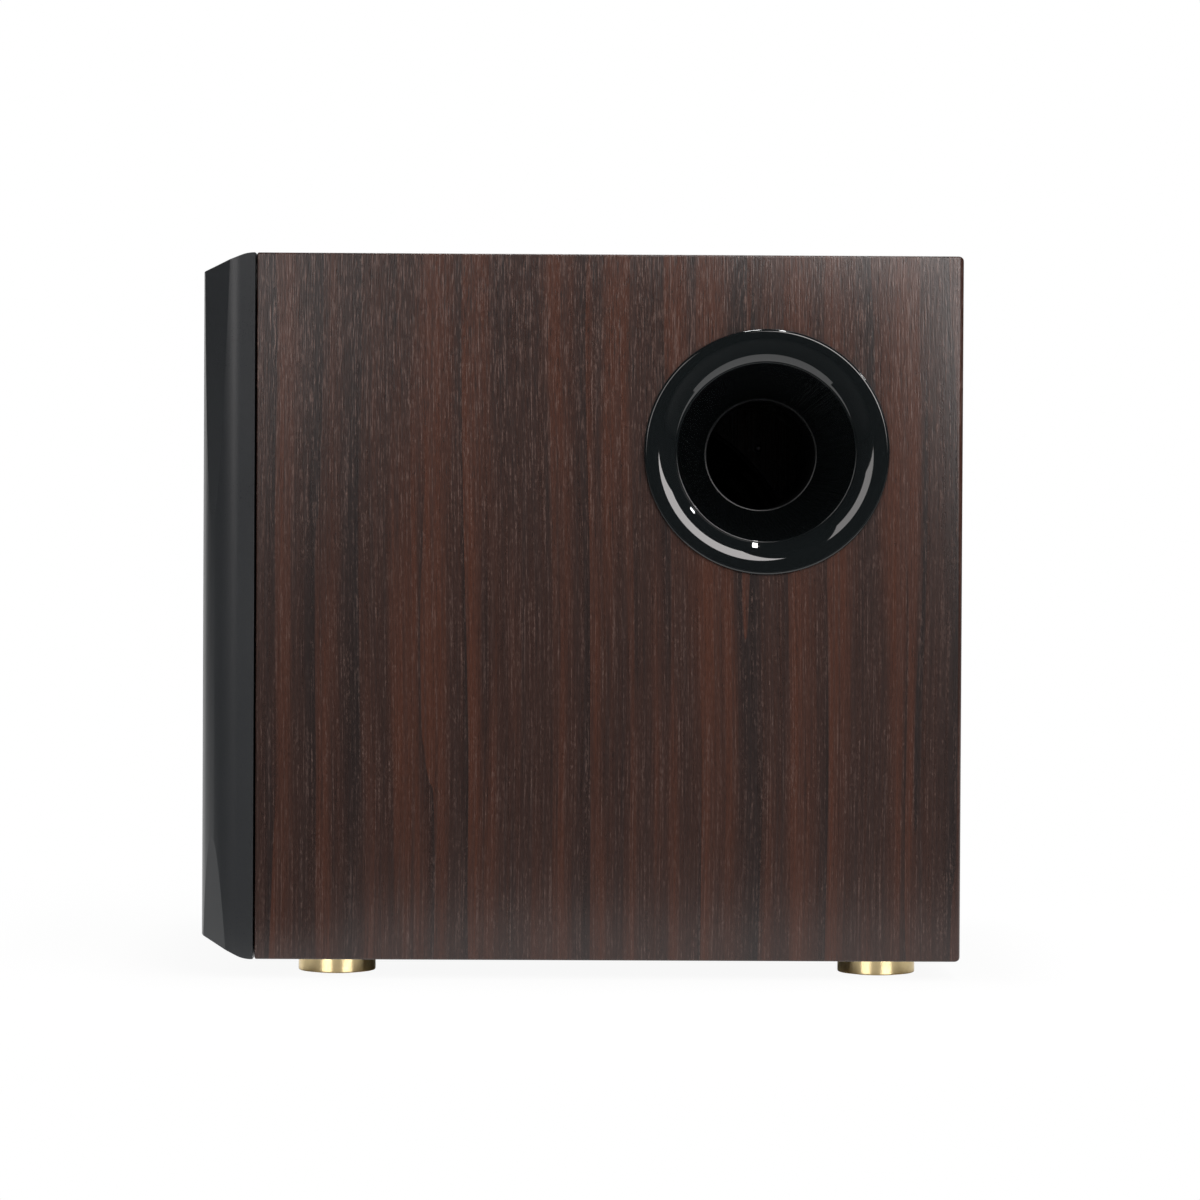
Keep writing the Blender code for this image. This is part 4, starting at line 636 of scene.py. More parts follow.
def turned(profile, steps=RING_STEPS):
    """A shape turned round Z from a closed section of (radius, height) points."""
    bm = bmesh.new()
    rings = []
    for radius, height in profile:
        if radius == 0:
            rings.append([bm.verts.new((0, 0, height))] * steps)
            continue
        turns = [math.tau * k / steps for k in range(steps)]
        rings.append([bm.verts.new((radius * math.cos(t), radius * math.sin(t), height)) for t in turns])
    for low, high in zip(rings, rings[1:] + rings[:1]):
        for k in range(steps):
            corners = [low[k - 1], low[k], high[k], high[k - 1]]
            corners = [v for i, v in enumerate(corners) if v not in corners[:i]]
            if len(corners) > 2:
                bm.faces.new(corners)
    return bm


def rod(radius, low, high, steps=SMALL_STEPS):
    """A round bar on Z."""
    return turned([(0, low), (radius, low), (radius, high), (0, high)], steps)


def loft(loops):
    """A closed shape through loops of points that have the same count, capped at both ends."""
    bm = bmesh.new()
    rings = [[bm.verts.new(point) for point in loop] for loop in loops]
    for low, high in zip(rings, rings[1:]):
        for k in range(len(low)):
            bm.faces.new((low[k - 1], low[k], high[k], high[k - 1]))
    bm.faces.new(rings[0])
    bm.faces.new(rings[-1])
    return bm


def prism(outline, low, high):
    """An outline raised from one height to another."""
    return loft([[(x, y, z) for x, y in outline] for z in (low, high)])


def rectangle(width, height, spot=(0, 0)):
    return [(spot[0] + sx * width / 2, spot[1] + sy * height / 2)
            for sx, sy in ((-1, -1), (1, -1), (1, 1), (-1, 1))]


def circle(radius, spot=(0, 0), steps=SMALL_STEPS):
    turns = [math.tau * k / steps for k in range(steps)]
    return [(spot[0] + radius * math.cos(t), spot[1] + radius * math.sin(t)) for t in turns]


def rounded(width, height, radius, spot=(0, 0)):
    """A rectangle with rounded corners."""
    points = []
    for quarter, (sx, sy) in enumerate(((1, 1), (-1, 1), (-1, -1), (1, -1))):
        middle = (spot[0] + sx * (width / 2 - radius), spot[1] + sy * (height / 2 - radius))
        points += arc(middle, (radius, radius), 90 * quarter, 90 * quarter + 90, 6)
    return points


def join_shapes(*shapes):
    """One bmesh that holds several."""
    whole = bmesh.new()
    for bm in shapes:
        mesh = bpy.data.meshes.new("joined")
        bm.to_mesh(mesh)
        bm.free()
        whole.from_mesh(mesh)
        bpy.data.meshes.remove(mesh)
    return whole


def slice_off(bm, point, normal, close=True):
    """Drops what lies beyond a plane, and closes the cut if asked."""
    cutting = bmesh.ops.bisect_plane(bm, geom=bm.verts[:] + bm.edges[:] + bm.faces[:], dist=0.0000001,
                                     plane_co=point, plane_no=normal, clear_outer=True)
    if close:
        edges = [item for item in cutting["geom_cut"] if isinstance(item, bmesh.types.BMEdge)]
        bmesh.ops.contextual_create(bm, geom=edges)


def moved(bm, matrix):
    bmesh.ops.transform(bm, matrix=matrix, verts=bm.verts[:])
    return bm


def filled(curve):
    """The shape that a curve fills. The curve itself is removed."""
    thing = bpy.data.objects.new(curve.name, curve)
    bpy.context.scene.collection.objects.link(thing)
    mesh = mesh_of(thing)
    bpy.data.objects.remove(thing)
    bm = bmesh.new()
    bm.from_mesh(mesh)
    bpy.data.meshes.remove(mesh)
    bpy.data.curves.remove(curve)
    return bm


def flat_piece(loops, low, high, bevel=0.0):
    """A flat outline with holes and bevelled edges, from low to high."""
    curve = bpy.data.curves.new("outline", "CURVE")
    curve.dimensions = "2D"
    curve.fill_mode = "BOTH"
    curve.extrude = (high - low) / 2 - bevel
    curve.bevel_depth = bevel
    curve.bevel_resolution = 2
    curve.offset = -bevel
    for loop in loops:
        spline = curve.splines.new("POLY")
        spline.points.add(len(loop) - 1)
        for point, (x, y) in zip(spline.points, loop):
            point.co = (x, y, 0, 1)
        spline.use_cyclic_u = True
    bm = filled(curve)
    bmesh.ops.remove_doubles(bm, verts=bm.verts[:], dist=0.000001)
    return moved(bm, at(0, 0, (low + high) / 2))


def figure(text, height):
    """Flat print of a number, centred on its own origin."""
    curve = bpy.data.curves.new("figure", "FONT")
    curve.body = text
    curve.size = height
    curve.extrude = 0.0001
    curve.align_x = "CENTER"
    curve.resolution_u = 4
    return filled(curve)


def mesh_of(thing):
    """The mesh that an object shows, with its modifiers."""
    graph = bpy.context.evaluated_depsgraph_get()
    return bpy.data.meshes.new_from_object(thing.evaluated_get(graph))


def new_piece(name, bm, place=None):
    mesh = bpy.data.meshes.new(name)
    bmesh.ops.recalc_face_normals(bm, faces=bm.faces[:])
    bm.to_mesh(mesh)
    bm.free()
    piece = bpy.data.objects.new(name, mesh)
    piece.matrix_world = place or Matrix()
    bpy.context.scene.collection.objects.link(piece)
    return piece


def settle(piece):
    """Makes a piece's modifiers part of its mesh."""
    old = piece.data
    piece.data = mesh_of(piece)
    piece.modifiers.clear()
    bpy.data.meshes.remove(old)
    return piece


def combine(piece, bm, operation="DIFFERENCE"):
    """Cuts a shape out of a piece, or adds it, in the piece's own placing."""
    tool = new_piece(piece.name + "_tool", bm, piece.matrix_world)
    boolean = piece.modifiers.new("tool", "BOOLEAN")
    boolean.operation = operation
    boolean.solver = "EXACT"
    boolean.object = tool
    settle(piece)
    shape = tool.data
    bpy.data.objects.remove(tool)
    bpy.data.meshes.remove(shape)


def soften(piece, width, segments=2, limit=30):
    """Rounds a piece's sharp edges."""
    bevel = piece.modifiers.new("edges", "BEVEL")
    bevel.limit_method = "ANGLE"
    bevel.angle_limit = math.radians(limit)
    bevel.width = width
    bevel.segments = segments
    return settle(piece)


def coat(piece, material, smooth=30, level=False):
    """Gives a piece its material and shades it smooth, apart from edges sharper than smooth degrees.

    Level keeps its broad faces flat up to their bevels.
    """
    piece.data.materials.clear()
    piece.data.materials.append(material)
    piece.data.shade_smooth()
    piece.data.set_sharp_from_angle(angle=math.radians(smooth))
    if level:
        piece.modifiers.new("level", "WEIGHTED_NORMAL").keep_sharp = True
        settle(piece)
    return piece


def dress(piece, material, slot, *nodes, body="root", smooth=30, level=False):
    """Finishes a piece, rides it on its body and lets it stand for CAD nodes."""
    coat(piece, material, smooth, level)
    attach(piece, body)
    if nodes:
        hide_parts(*nodes)
    return piece


def repaint(material, *nodes):
    """Gives CAD nodes that keep their shape a finish."""
    for node in nodes:
        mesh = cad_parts[node].data
        mesh.materials.clear()
        mesh.materials.append(material)


class SUBWOOFER_OT_camera(Operator):
    """Sets up the camera at the photograph's view"""

    bl_idname = "subwoofer.camera"
    bl_label = "Camera"

    def execute(self, context):
        look = context.scene.studio_look
        level = math.cos(look.tilt)
        forward = Vector((-level * math.cos(look.yaw), level * math.sin(look.yaw), -math.sin(look.tilt)))
        right = forward.cross(Vector((0, 0, 1))).normalized()
        right = Matrix.Rotation(-look.roll, 3, forward) @ right
        up = right.cross(forward)
        data = bpy.data.cameras.new("camera")
        data.sensor_width = 36
        data.lens = look.lens
        camera = bpy.data.objects.new("camera", data)
        camera.matrix_world = placing(look.camera, right, up, -forward)
        context.scene.collection.objects.link(camera)
        context.scene.camera = camera
        return {"FINISHED"}


def lamp(name, place, target, width, height, radiance, colour=(1, 1, 1), upright=(0, 0, 1)):
    """A soft rectangular lamp of an even brightness, turned to a point. Its height runs along upright."""
    data = bpy.data.lights.new(name, "AREA")
    data.shape = "RECTANGLE"
    data.size = width
    data.size_y = height
    data.energy = radiance * math.pi * width * height
    data.color = colour
    made = bpy.data.objects.new(name, data)
    z = (Vector(place) - Vector(target)).normalized()
    x = Vector(upright).cross(z).normalized()
    made.matrix_world = placing(place, x, z.cross(x), z)
    made.visible_camera = False
    bpy.context.scene.collection.objects.link(made)
    return made


STRIP_LIT = "strip_lit_feet"     # the pieces that the two low strip lamps light
KEY_DARK = "kept_from_keys"      # the boards that the two large soft lamps leave out, as they would glare


class SUBWOOFER_OT_stage(Operator):
    """Makes the floor, the lamps and the world"""

    bl_idname = "subwoofer.stage"
    bl_label = "Stage"

    floor_reach = 5
    curtain_reach = 2.4      # how far the curtain's wall stands from the middle
    curtain_top = 2.6
    curtain_first = -118     # where the wall starts, in degrees from +X
    curtain_turn = 323       # how far round it goes
    curtain_steps = 48
    cloth_side = 2.6         # how far the cloth on the floor reaches to each side
    cloth_height = 0.002

    def execute(self, context):
        look = context.scene.studio_look
        context.scene.view_settings.view_transform = "Standard"
        self.make_world(look)
        self.make_floor(look)
        self.make_curtain(look)
        self.make_lamps(look)
        return {"FINISHED"}

    def make_lamps(self, look):
        """Two large soft lamps, three on the ceiling, two strips for the feet and three lamps behind."""
        aim = PORT_AXIS.translation
        warm = (1, 0.96, 0.95)
        forward = (1, 0, 0)
        left_out = bpy.data.collections.new(KEY_DARK)
        keys = (("key_right", (1.38, 0.59, 0.79), 0.98, 0.66, 1.3, (0, 0.53, 0.59)),
                ("key_left", (1.34, -0.64, 0.65), 0.72, 0.60, 0.55, (0, -0.70, 0.45)))
        for name, place, width, height, part, upright in keys:
            key = lamp(name, place, aim, width, height, look.key * part, warm, upright)
            key.light_linking.receiver_collection = left_out
        lamp("ceiling_lamp_above", (0.41, 0.32, 1.67), aim, 0.075, 0.42, look.spot * 0.7, upright=forward)
        lamp("ceiling_lamp_right", (0.41, 1.23, 1.11), aim, 0.16, 0.09, look.spot * 0.6)
        lamp("ceiling_lamp_back", (0.03, -0.03, 1.62), aim, 0.19, 0.30, look.spot, upright=forward)
        feet = bpy.data.collections.new(STRIP_LIT)
        height = look.strip_height
        for name, y in (("foot_strip_left", -0.80), ("foot_strip_right", 0.79)):
            strip = lamp(name, (1.43, y, height / 2), (MIDDLE.x, MIDDLE.y, 0), 0.8, height, look.strip)
            strip.light_linking.receiver_collection = feet
        lamp("back_fill", (-0.3, 1.7, 1.1), MIDDLE, 1.0, 0.8, look.fill)
        lamp("driver_fill", (-1.5, 0.3, 1.0), MIDDLE, 1.0, 0.8, look.fill)
        lamp("front_fill", (-0.9, -1.5, 1.2), MIDDLE, 0.8, 0.8, look.fill)

    def make_world(self, look):
        """Even light, which the camera and gloss see as white."""
        world = bpy.data.worlds.new("studio")
        world.use_nodes = True
        bpy.context.scene.world = world
        paint = Paint(world.node_tree)
        camera, gloss = self.rays(paint)
        seen = paint.math("MINIMUM", camera + gloss, 1)
        background = world.node_tree.nodes["Background"]
        background.inputs["Color"].default_value = (1, 1, 1, 1)
        paint.feed(background.inputs["Strength"], seen * (1 - look.sky) + look.sky)

    def rays(self, paint):
        """1 for rays from the camera, and 1 for rays off a gloss or through glass."""
        camera, gloss, through = [paint.node("ShaderNodeLightPath", {}, {}, f"Is {kind} Ray")
                                  for kind in ("Camera", "Glossy", "Transmission")]
        return camera, gloss + through

    def make_floor(self, look):
        """A pale floor. The camera sees it as nearly white, and gloss as white but for under the cabinet."""
        bm = bmesh.new()
        bmesh.ops.create_circle(bm, cap_ends=True, segments=64, radius=self.floor_reach)
        floor = new_piece("floor", bm)
        material = bpy.data.materials.new("pale_floor")
        material.use_nodes = True
        tree = material.node_tree
        paint = Paint(tree)
        spot = paint.place()
        diffuse = tree.nodes["Principled BSDF"]
        diffuse.inputs["Specular IOR Level"].default_value = 0
        diffuse.inputs["Roughness"].default_value = 1
        cloud = paint.noise(spot, 9, detail=3)
        colour = tuple(look.floor)
        paint.feed(diffuse.inputs["Base Color"], paint.mix(cloud, colour, shade(colour, 0.98)))
        reach = paint.node("ShaderNodeVectorMath", {"operation": "LENGTH"}, {0: spot}, "Value")
        glow = paint.node("ShaderNodeEmission", {}, {"Color": (1, 1, 1), "Strength": 1})
        camera, gloss = self.rays(paint)
        far = paint.between(reach, 0.16, 0.50)
        x, y = paint.axes(spot)[:2]
        out_x = paint.math("ABSOLUTE", x - MIDDLE.x) - WIDTH / 2
        out_y = paint.math("ABSOLUTE", y - MIDDLE.y) - (REAR - FRONT) / 2
        clear = paint.between(paint.math("MAXIMUM", out_x, out_y), -0.018, -0.006)
        part = camera * (far * (1 - look.clear) + look.clear) + gloss * clear
        mixed = paint.node("ShaderNodeMixShader", {}, {0: part, 1: Value(paint, diffuse.outputs[0]), 2: glow})
        paint.feed(tree.nodes["Material Output"].inputs["Surface"], mixed)
        coat(floor, material)

    def make_curtain(self, look):
        """A dark cloth that only gloss shows. It lies round a pale sheet, and rises and closes overhead."""
        bm = bmesh.new()
        steps, reach = self.curtain_steps, self.curtain_reach
        turns = [math.radians(self.curtain_first + self.curtain_turn * k / steps) for k in range(steps + 1)]
        ring = [(reach * math.cos(t), reach * math.sin(t)) for t in turns]
        foot, head = [[bm.verts.new((x, y, z)) for x, y in ring]
                      for z in (self.cloth_height, self.curtain_top)]
        for k in range(steps):
            bm.faces.new((foot[k], foot[k + 1], head[k + 1], head[k]))
        bm.faces.new(head)
        strips = ((-self.cloth_side, look.sheet_low, look.sheet_side),
                  (look.sheet_low, look.sheet_high, look.sheet_front),
                  (look.sheet_high, self.cloth_side, look.sheet_side))
        for low, high, edge in strips:
            corners = ((edge, low), (reach, low), (reach, high), (edge, high))
            bm.faces.new([bm.verts.new((x, y, self.cloth_height)) for x, y in corners])
        curtain = new_piece("studio_curtain", bm)
        coat(curtain, fibrous("curtain_cloth", srgb(22, 26, 27), srgb(30, 34, 35), 60, 0.001))
        curtain.visible_camera = False
        curtain.visible_diffuse = False
        curtain.visible_shadow = False


class SUBWOOFER_OT_boards(Operator):
    """Makes the wrapped boards of the cabinet and finishes the boards inside"""

    bl_idname = "subwoofer.boards"
    bl_label = "Boards"

    peg_hole = 0.0033        # for each foot's peg
    peg_reach = 0.016
    peg_steps = 24

    def execute(self, context):
        look = context.scene.cabinet_look
        sides = (("right", (1, 0, 0), (0, 0, 1), WIDTH, HEIGHT, 0.0),
                 ("top", (0, 0, 1), (-1, 0, 0), HEIGHT, WIDTH, TOP + RIGHT),
                 ("left", (-1, 0, 0), (0, 0, -1), WIDTH, HEIGHT, 2 * TOP + WIDTH),
                 ("bottom", (0, 0, -1), (1, 0, 0), HEIGHT, WIDTH, BASE - RIGHT))
        for name, out, along, apart, length, start in sides:
            shape = self.board(look, Vector(out), Vector(along), apart / 2, length / 2)
            piece = new_piece(f"{name}_board", shape)
            self.cut_holes(piece, name, context.scene.driver_look)
            face = MIDDLE.dot(out) + apart / 2
            finish = wood_vinyl(f"wood_vinyl_{name}", look, out, face, along, start)
            node = f"{name}_side_panel" if name in ("right", "left") else f"{name}_panel"
            dress(piece, finish, "vinyl_wrap", node, smooth=35)
            if name in ("top", "left"):
                left_out = bpy.data.collections[KEY_DARK]
                left_out.objects.link(piece)
                left_out.collection_objects[-1].light_linking.link_state = "EXCLUDE"
        repaint(leather_vinyl("black_back_vinyl", tuple(look.back)), "back_panel")
        repaint(fibrous("bare_fibreboard", srgb(120, 92, 64), srgb(160, 128, 92), 420), "front_baffle")
        self.damping()
        return {"FINISHED"}

    def cut_holes(self, piece, name, driver):
        """Cuts the port's, the driver's or the feet's holes in a board."""
        if name == "right":
            hole = span("port_flare").z / 2 - PORT_LAP
            combine(piece, moved(rod(hole, -CUT, CUT, HOLE_STEPS), PORT_AXIS))
        if name == "left":
            rebate = driver.trim_outer + 3 * SEAT
            tool = [(0, -CUT), (driver.hole, -CUT), (driver.hole, -driver.rebate),
                    (rebate, -driver.rebate), (rebate, CUT), (0, CUT)]
            combine(piece, moved(turned(tool, HOLE_STEPS), DRIVER_AXIS))
        if name == "bottom":
            for foot in FEET:
                spot = centre(f"foot_{foot}")
                tool = rod(self.peg_hole, -CUT, self.peg_reach, self.peg_steps)
                combine(piece, moved(tool, at(spot.x, spot.y)))

    def board(self, look, out, along, reach, half):
        """A mitred board whose outer corners are folds and whose ends are rounded.

        Reach is how far its face lies from the cabinet's middle, and half is half its length.
        """
        loops = []
        cuts = []
        for edge, way, radius in ((FRONT, 1, look.front_edge), (REAR, -1, look.rear_edge)):
            turns = [math.pi / 2 * k / 5 for k in range(6)]
            part = [(edge + way * radius * (1 - math.cos(t)), radius * (1 - math.sin(t))) for t in turns]
            cuts += part if way > 0 else part[::-1]
        for y, inset in cuts:
            fold = max(look.fold - inset, 0.00005)
            far, wide = reach - inset - fold, half - inset - fold
            outline = arc((wide, far), (fold, fold), 45, 90, 4) + arc((-wide, far), (fold, fold), 90, 135, 4)
            outline += [(BOARD - half, reach - BOARD), (half - BOARD, reach - BOARD)]
            middle = Vector((MIDDLE.x, y, MIDDLE.z))
            loops.append([middle + along * a + out * b for a, b in outline])
        return loft(loops)

    def damping(self):
        """Felt wadding with an uneven face, on the back of the baffle."""
        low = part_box("damping_pad")[0]
        whole = span("damping_pad")
        bm = bmesh.new()
        bmesh.ops.create_grid(bm, x_segments=40, y_segments=40, size=0.5)
        for vertex in bm.verts:
            across, up = vertex.co.x + 0.5, vertex.co.y + 0.5
            edge = min(across, 1 - across, up, 1 - up)
            swell = min(1, edge / 0.06) ** 0.5
            dents = 0.06 * math.sin(across * 37) * math.sin(up * 31 + 2 * across)
            dents += 0.05 * math.sin(up * 83 + across * 19)
            depth = whole.y * (0.35 + 0.55 * swell + dents * swell)
            vertex.co = (low.x + across * whole.x, low.y + min(depth, whole.y), low.z + up * whole.z)
        front = bmesh.ops.extrude_face_region(bm, geom=bm.faces[:])
        for item in front["geom"]:
            if isinstance(item, bmesh.types.BMVert):
                item.co.y = low.y
        wadding = new_piece("damping_wadding", bm)
        dress(wadding, fibrous("felt_wadding", srgb(128, 130, 132), srgb(176, 178, 180), 260, 0.0006, 0.95),
              "damping_felt", "damping_pad", smooth=60)


class SUBWOOFER_OT_cover(Operator):
    """Makes the moulded front cover"""

    bl_idname = "subwoofer.cover"
    bl_label = "Front cover"

    corner_steps = 48
    ridge_steps = 6
    baffle_gap = 0.0018      # between the cover's rear and the baffle

    def execute(self, context):
        look = context.scene.cover_look
        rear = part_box("front_baffle")[0].y - self.baffle_gap
        piece = new_piece("front_cover", self.form(look, 0, rear))
        soften(piece, look.edge, 3, 9)
        combine(piece, self.form(look, look.wall, rear + 2 * PROUD))
        satin = moulded("cover_plastic_satin", tuple(look.colour), look.roughness)
        dress(piece, satin, "cover_plastic", "front_panel", smooth=4)
        return {"FINISHED"}

    def form(self, look, inset, rear):
        """The cover's outer form, with every wall moved in by inset."""
        nose = CAD_BOX[0].y
        face = nose + inset
        radius = look.corner - inset
        middle_y = nose + look.corner
        corners = [(RIGHT - look.corner, 1), (LEFT + look.corner, -1)]
        plan = [(LEFT + inset, rear), (RIGHT - inset, rear)]
        for x, side in corners:
            turns = [math.pi / 2 * k / self.corner_steps for k in range(self.corner_steps + 1)]
            for t in turns if side > 0 else turns[::-1]:
                plan.append((x + side * radius * math.cos(t), middle_y - radius * math.sin(t)))
        low, high = BASE + inset, TOP - inset
        bm = prism(plan, low, high)
        for edge, up, run, drop, ridge in ((high, 1, look.top_run, look.top_drop, look.top_ridge),
                                           (low, -1, look.base_run, look.base_rise, look.base_ridge)):
            slope = math.atan2(drop, run)
            middle = Vector((0, face + run + ridge * math.tan(slope / 2), edge - up * ridge))
            for k in range(1, self.ridge_steps + 1):
                lean = slope * k / self.ridge_steps
                normal = Vector((0, -math.sin(lean), up * math.cos(lean)))
                slice_off(bm, middle + normal * ridge, normal)
        facets = ((TOP - look.upper_length, 1, look.upper_tilt),
                  (BASE + look.lower_length, -1, look.lower_tilt))
        for height, up, lean in facets:
            for x, side in corners:
                out = Vector((side, -1, 0)).normalized()
                normal = out * math.cos(lean) + Vector((0, 0, up * math.sin(lean)))
                slice_off(bm, Vector((x, middle_y, height)) + out * radius, normal)
        return bm


class SUBWOOFER_OT_port(Operator):
    """Makes the flared port and its duct"""

    bl_idname = "subwoofer.port"
    bl_label = "Port"

    wall = 0.0025
    grip = 0.010             # length of duct that the flare's sleeve holds
    mouth_steps = 48

    def execute(self, context):
        look = context.scene.port_look
        wall = self.wall
        flange = span("port_flare").z / 2
        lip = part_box("port_flare")[1].x - RIGHT
        rim = flange - look.edge
        throat = lip - look.depth
        end = throat - look.taper
        body = flange - PORT_LAP - SEAT
        sleeve = look.duct + wall + SEAT
        shares = [1 - k / self.mouth_steps for k in range(self.mouth_steps + 1)]
        mouth = [(rim - (rim - look.throat) * u, lip - look.depth * u ** look.curve) for u in shares]
        edge = arc((rim, lip - look.edge), (look.edge, look.edge), 90, 0, 10)
        nose = arc((look.throat - look.step / 2, throat - 2 * look.step), (look.step, look.step), 180, 90, 6)
        profile = [(look.duct + look.ledge, end), *nose, (look.throat, throat - look.step), *mouth, *edge[1:],
                   (flange, SEAT), (body, SEAT), (body, -wall / 2), (look.throat + wall, throat - wall / 2),
                   (sleeve + wall, end + wall), (sleeve + wall, end - self.grip), (sleeve, end - self.grip),
                   (sleeve, end)]
        gloss = polished("port_polish", tuple(look.colour), look.roughness)
        piece = new_piece("port_mouth", turned(profile, FINE_STEPS), PORT_AXIS)
        dress(piece, gloss, "port_gloss", "port_flare", smooth=35)
        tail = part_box("port_tube")[0].x - RIGHT
        ledge = look.ledge
        soft = arc((look.duct + ledge, end - SEAT - ledge), (ledge, ledge), 180, 90, 6)
        duct = [(look.duct, tail), *soft, (look.duct + wall, end - SEAT), (look.duct + wall, tail)]
        piece = new_piece("port_duct", turned(duct, FINE_STEPS), PORT_AXIS)
        dress(piece, moulded("duct_plastic", srgb(24, 25, 26), 0.26), "tube_plastic", "port_tube", smooth=35)
        return {"FINISHED"}


class SUBWOOFER_OT_feet(Operator):
    """Makes the turned feet and their soft pads"""

    bl_idname = "subwoofer.feet"
    bl_label = "Feet"

    peg = 0.003              # radius of the peg that goes into the bottom board
    bead = 0.0004            # rounding of the pad's edges
    pad_steps = 64

    def execute(self, context):
        look = context.scene.feet_look
        gold = turned_metal("foot_gold", tuple(look.colour), look.roughness)
        black = soft_rubber("foot_pad_rubber", tuple(look.pad))
        for place in FEET:
            spot = at(*centre(f"foot_{place}").to_2d())
            foot = new_piece(f"turned_foot_{place}", turned(self.foot(look, place), FINE_STEPS), spot)
            dress(foot, gold, "foot_brass", f"foot_{place}")
            bpy.data.collections[STRIP_LIT].objects.link(foot)
            pad = new_piece(f"foot_cushion_{place}", turned(self.pad(place), self.pad_steps), spot)
            dress(pad, black, "foot_rubber", f"foot_pad_{place}")
        return {"FINISHED"}

    def foot(self, look, place):
        """The section of a foot, with a well for its pad and a peg on top."""
        low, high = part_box(f"foot_{place}")
        edge = look.edge
        side = (high - low).x / 2 - edge
        base, crown = low.z, BASE - SEAT
        well = span(f"foot_pad_{place}").x / 2 + SEAT
        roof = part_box(f"foot_pad_{place}")[1].z + SEAT
        return [(0, roof), (well, roof), (well, base), *arc((side, base + edge), (edge, edge), -90, 0, 6),
                *arc((side, crown - edge), (edge, edge), 0, 90, 6), (self.peg, crown), (self.peg, high.z),
                (0, high.z)]

    def pad(self, place):
        """The section of a soft pad."""
        bead = self.bead
        side = span(f"foot_pad_{place}").x / 2 - bead
        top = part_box(f"foot_pad_{place}")[1].z
        return [(0, 0), *arc((side, bead), (bead, bead), -90, 0, 5),
                *arc((side, top - bead), (bead, bead), 0, 90, 5), (0, top)]


SCREW_HEAD = 0.0022      # height of a screw's head


def cross_screw():
    """A pan head screw with a cross recess, with its head's foot at 0."""
    radius, shank, foot, rim, steps = 0.0037, 0.0019, 0.0002, 0.0010, 36
    tip, thread, pitch, turns = -0.016, 0.003, 0.0011, 10
    point, root = shank * 0.4, shank * 0.78
    slot, width, depth = 0.0042, 0.0009, 0.0013
    profile = [(shank, 0), (radius - foot, 0), (radius, foot)]
    profile += arc((0, rim), (radius, SCREW_HEAD - rim), 0, 90, 8)[:-1]
    profile += [(0, SCREW_HEAD), (0, tip), (point, tip)]
    for k in range(turns):
        step = tip + thread + pitch * k
        profile += [(shank, step), (root, step + pitch / 2)]
    piece = new_piece("screw_form", turned(profile, steps))
    for sides in ((slot, width), (width, slot)):
        combine(piece, prism(rectangle(*sides), SCREW_HEAD - depth, SCREW_HEAD + PROUD))
    return piece


class SUBWOOFER_OT_screws(Operator):
    """Makes the cross-headed screws of the driver and the amplifier"""

    bl_idname = "subwoofer.screws"
    bl_label = "Screws"

    first_turn = 17          # degrees that the slots are turned, so that no two screws stand alike
    turn_step = 31

    def execute(self, context):
        zinc = bare_metal("screw_dark_zinc", (0.30, 0.30, 0.31), 0.36, (700, 700, 700), 0.8)
        form = cross_screw()
        for group, face in (("driver", DRIVER_AXIS), ("amp", AMP_FACE)):
            for k in SCREWS:
                node = f"{group}_screw_{k}"
                spot = face.inverted() @ centre(node)
                crown = max((face.inverted() @ corner).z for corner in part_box(node))
                piece = bpy.data.objects.new(f"{group}_cross_screw_{k}", form.data.copy())
                turn = Matrix.Rotation(math.radians(self.first_turn + self.turn_step * k), 4, "Z")
                piece.matrix_world = face @ at(spot.x, spot.y, crown - SCREW_HEAD) @ turn
                context.scene.collection.objects.link(piece)
                dress(piece, zinc, "screw_black", node, smooth=40)
        bpy.data.objects.remove(form)
        return {"FINISHED"}


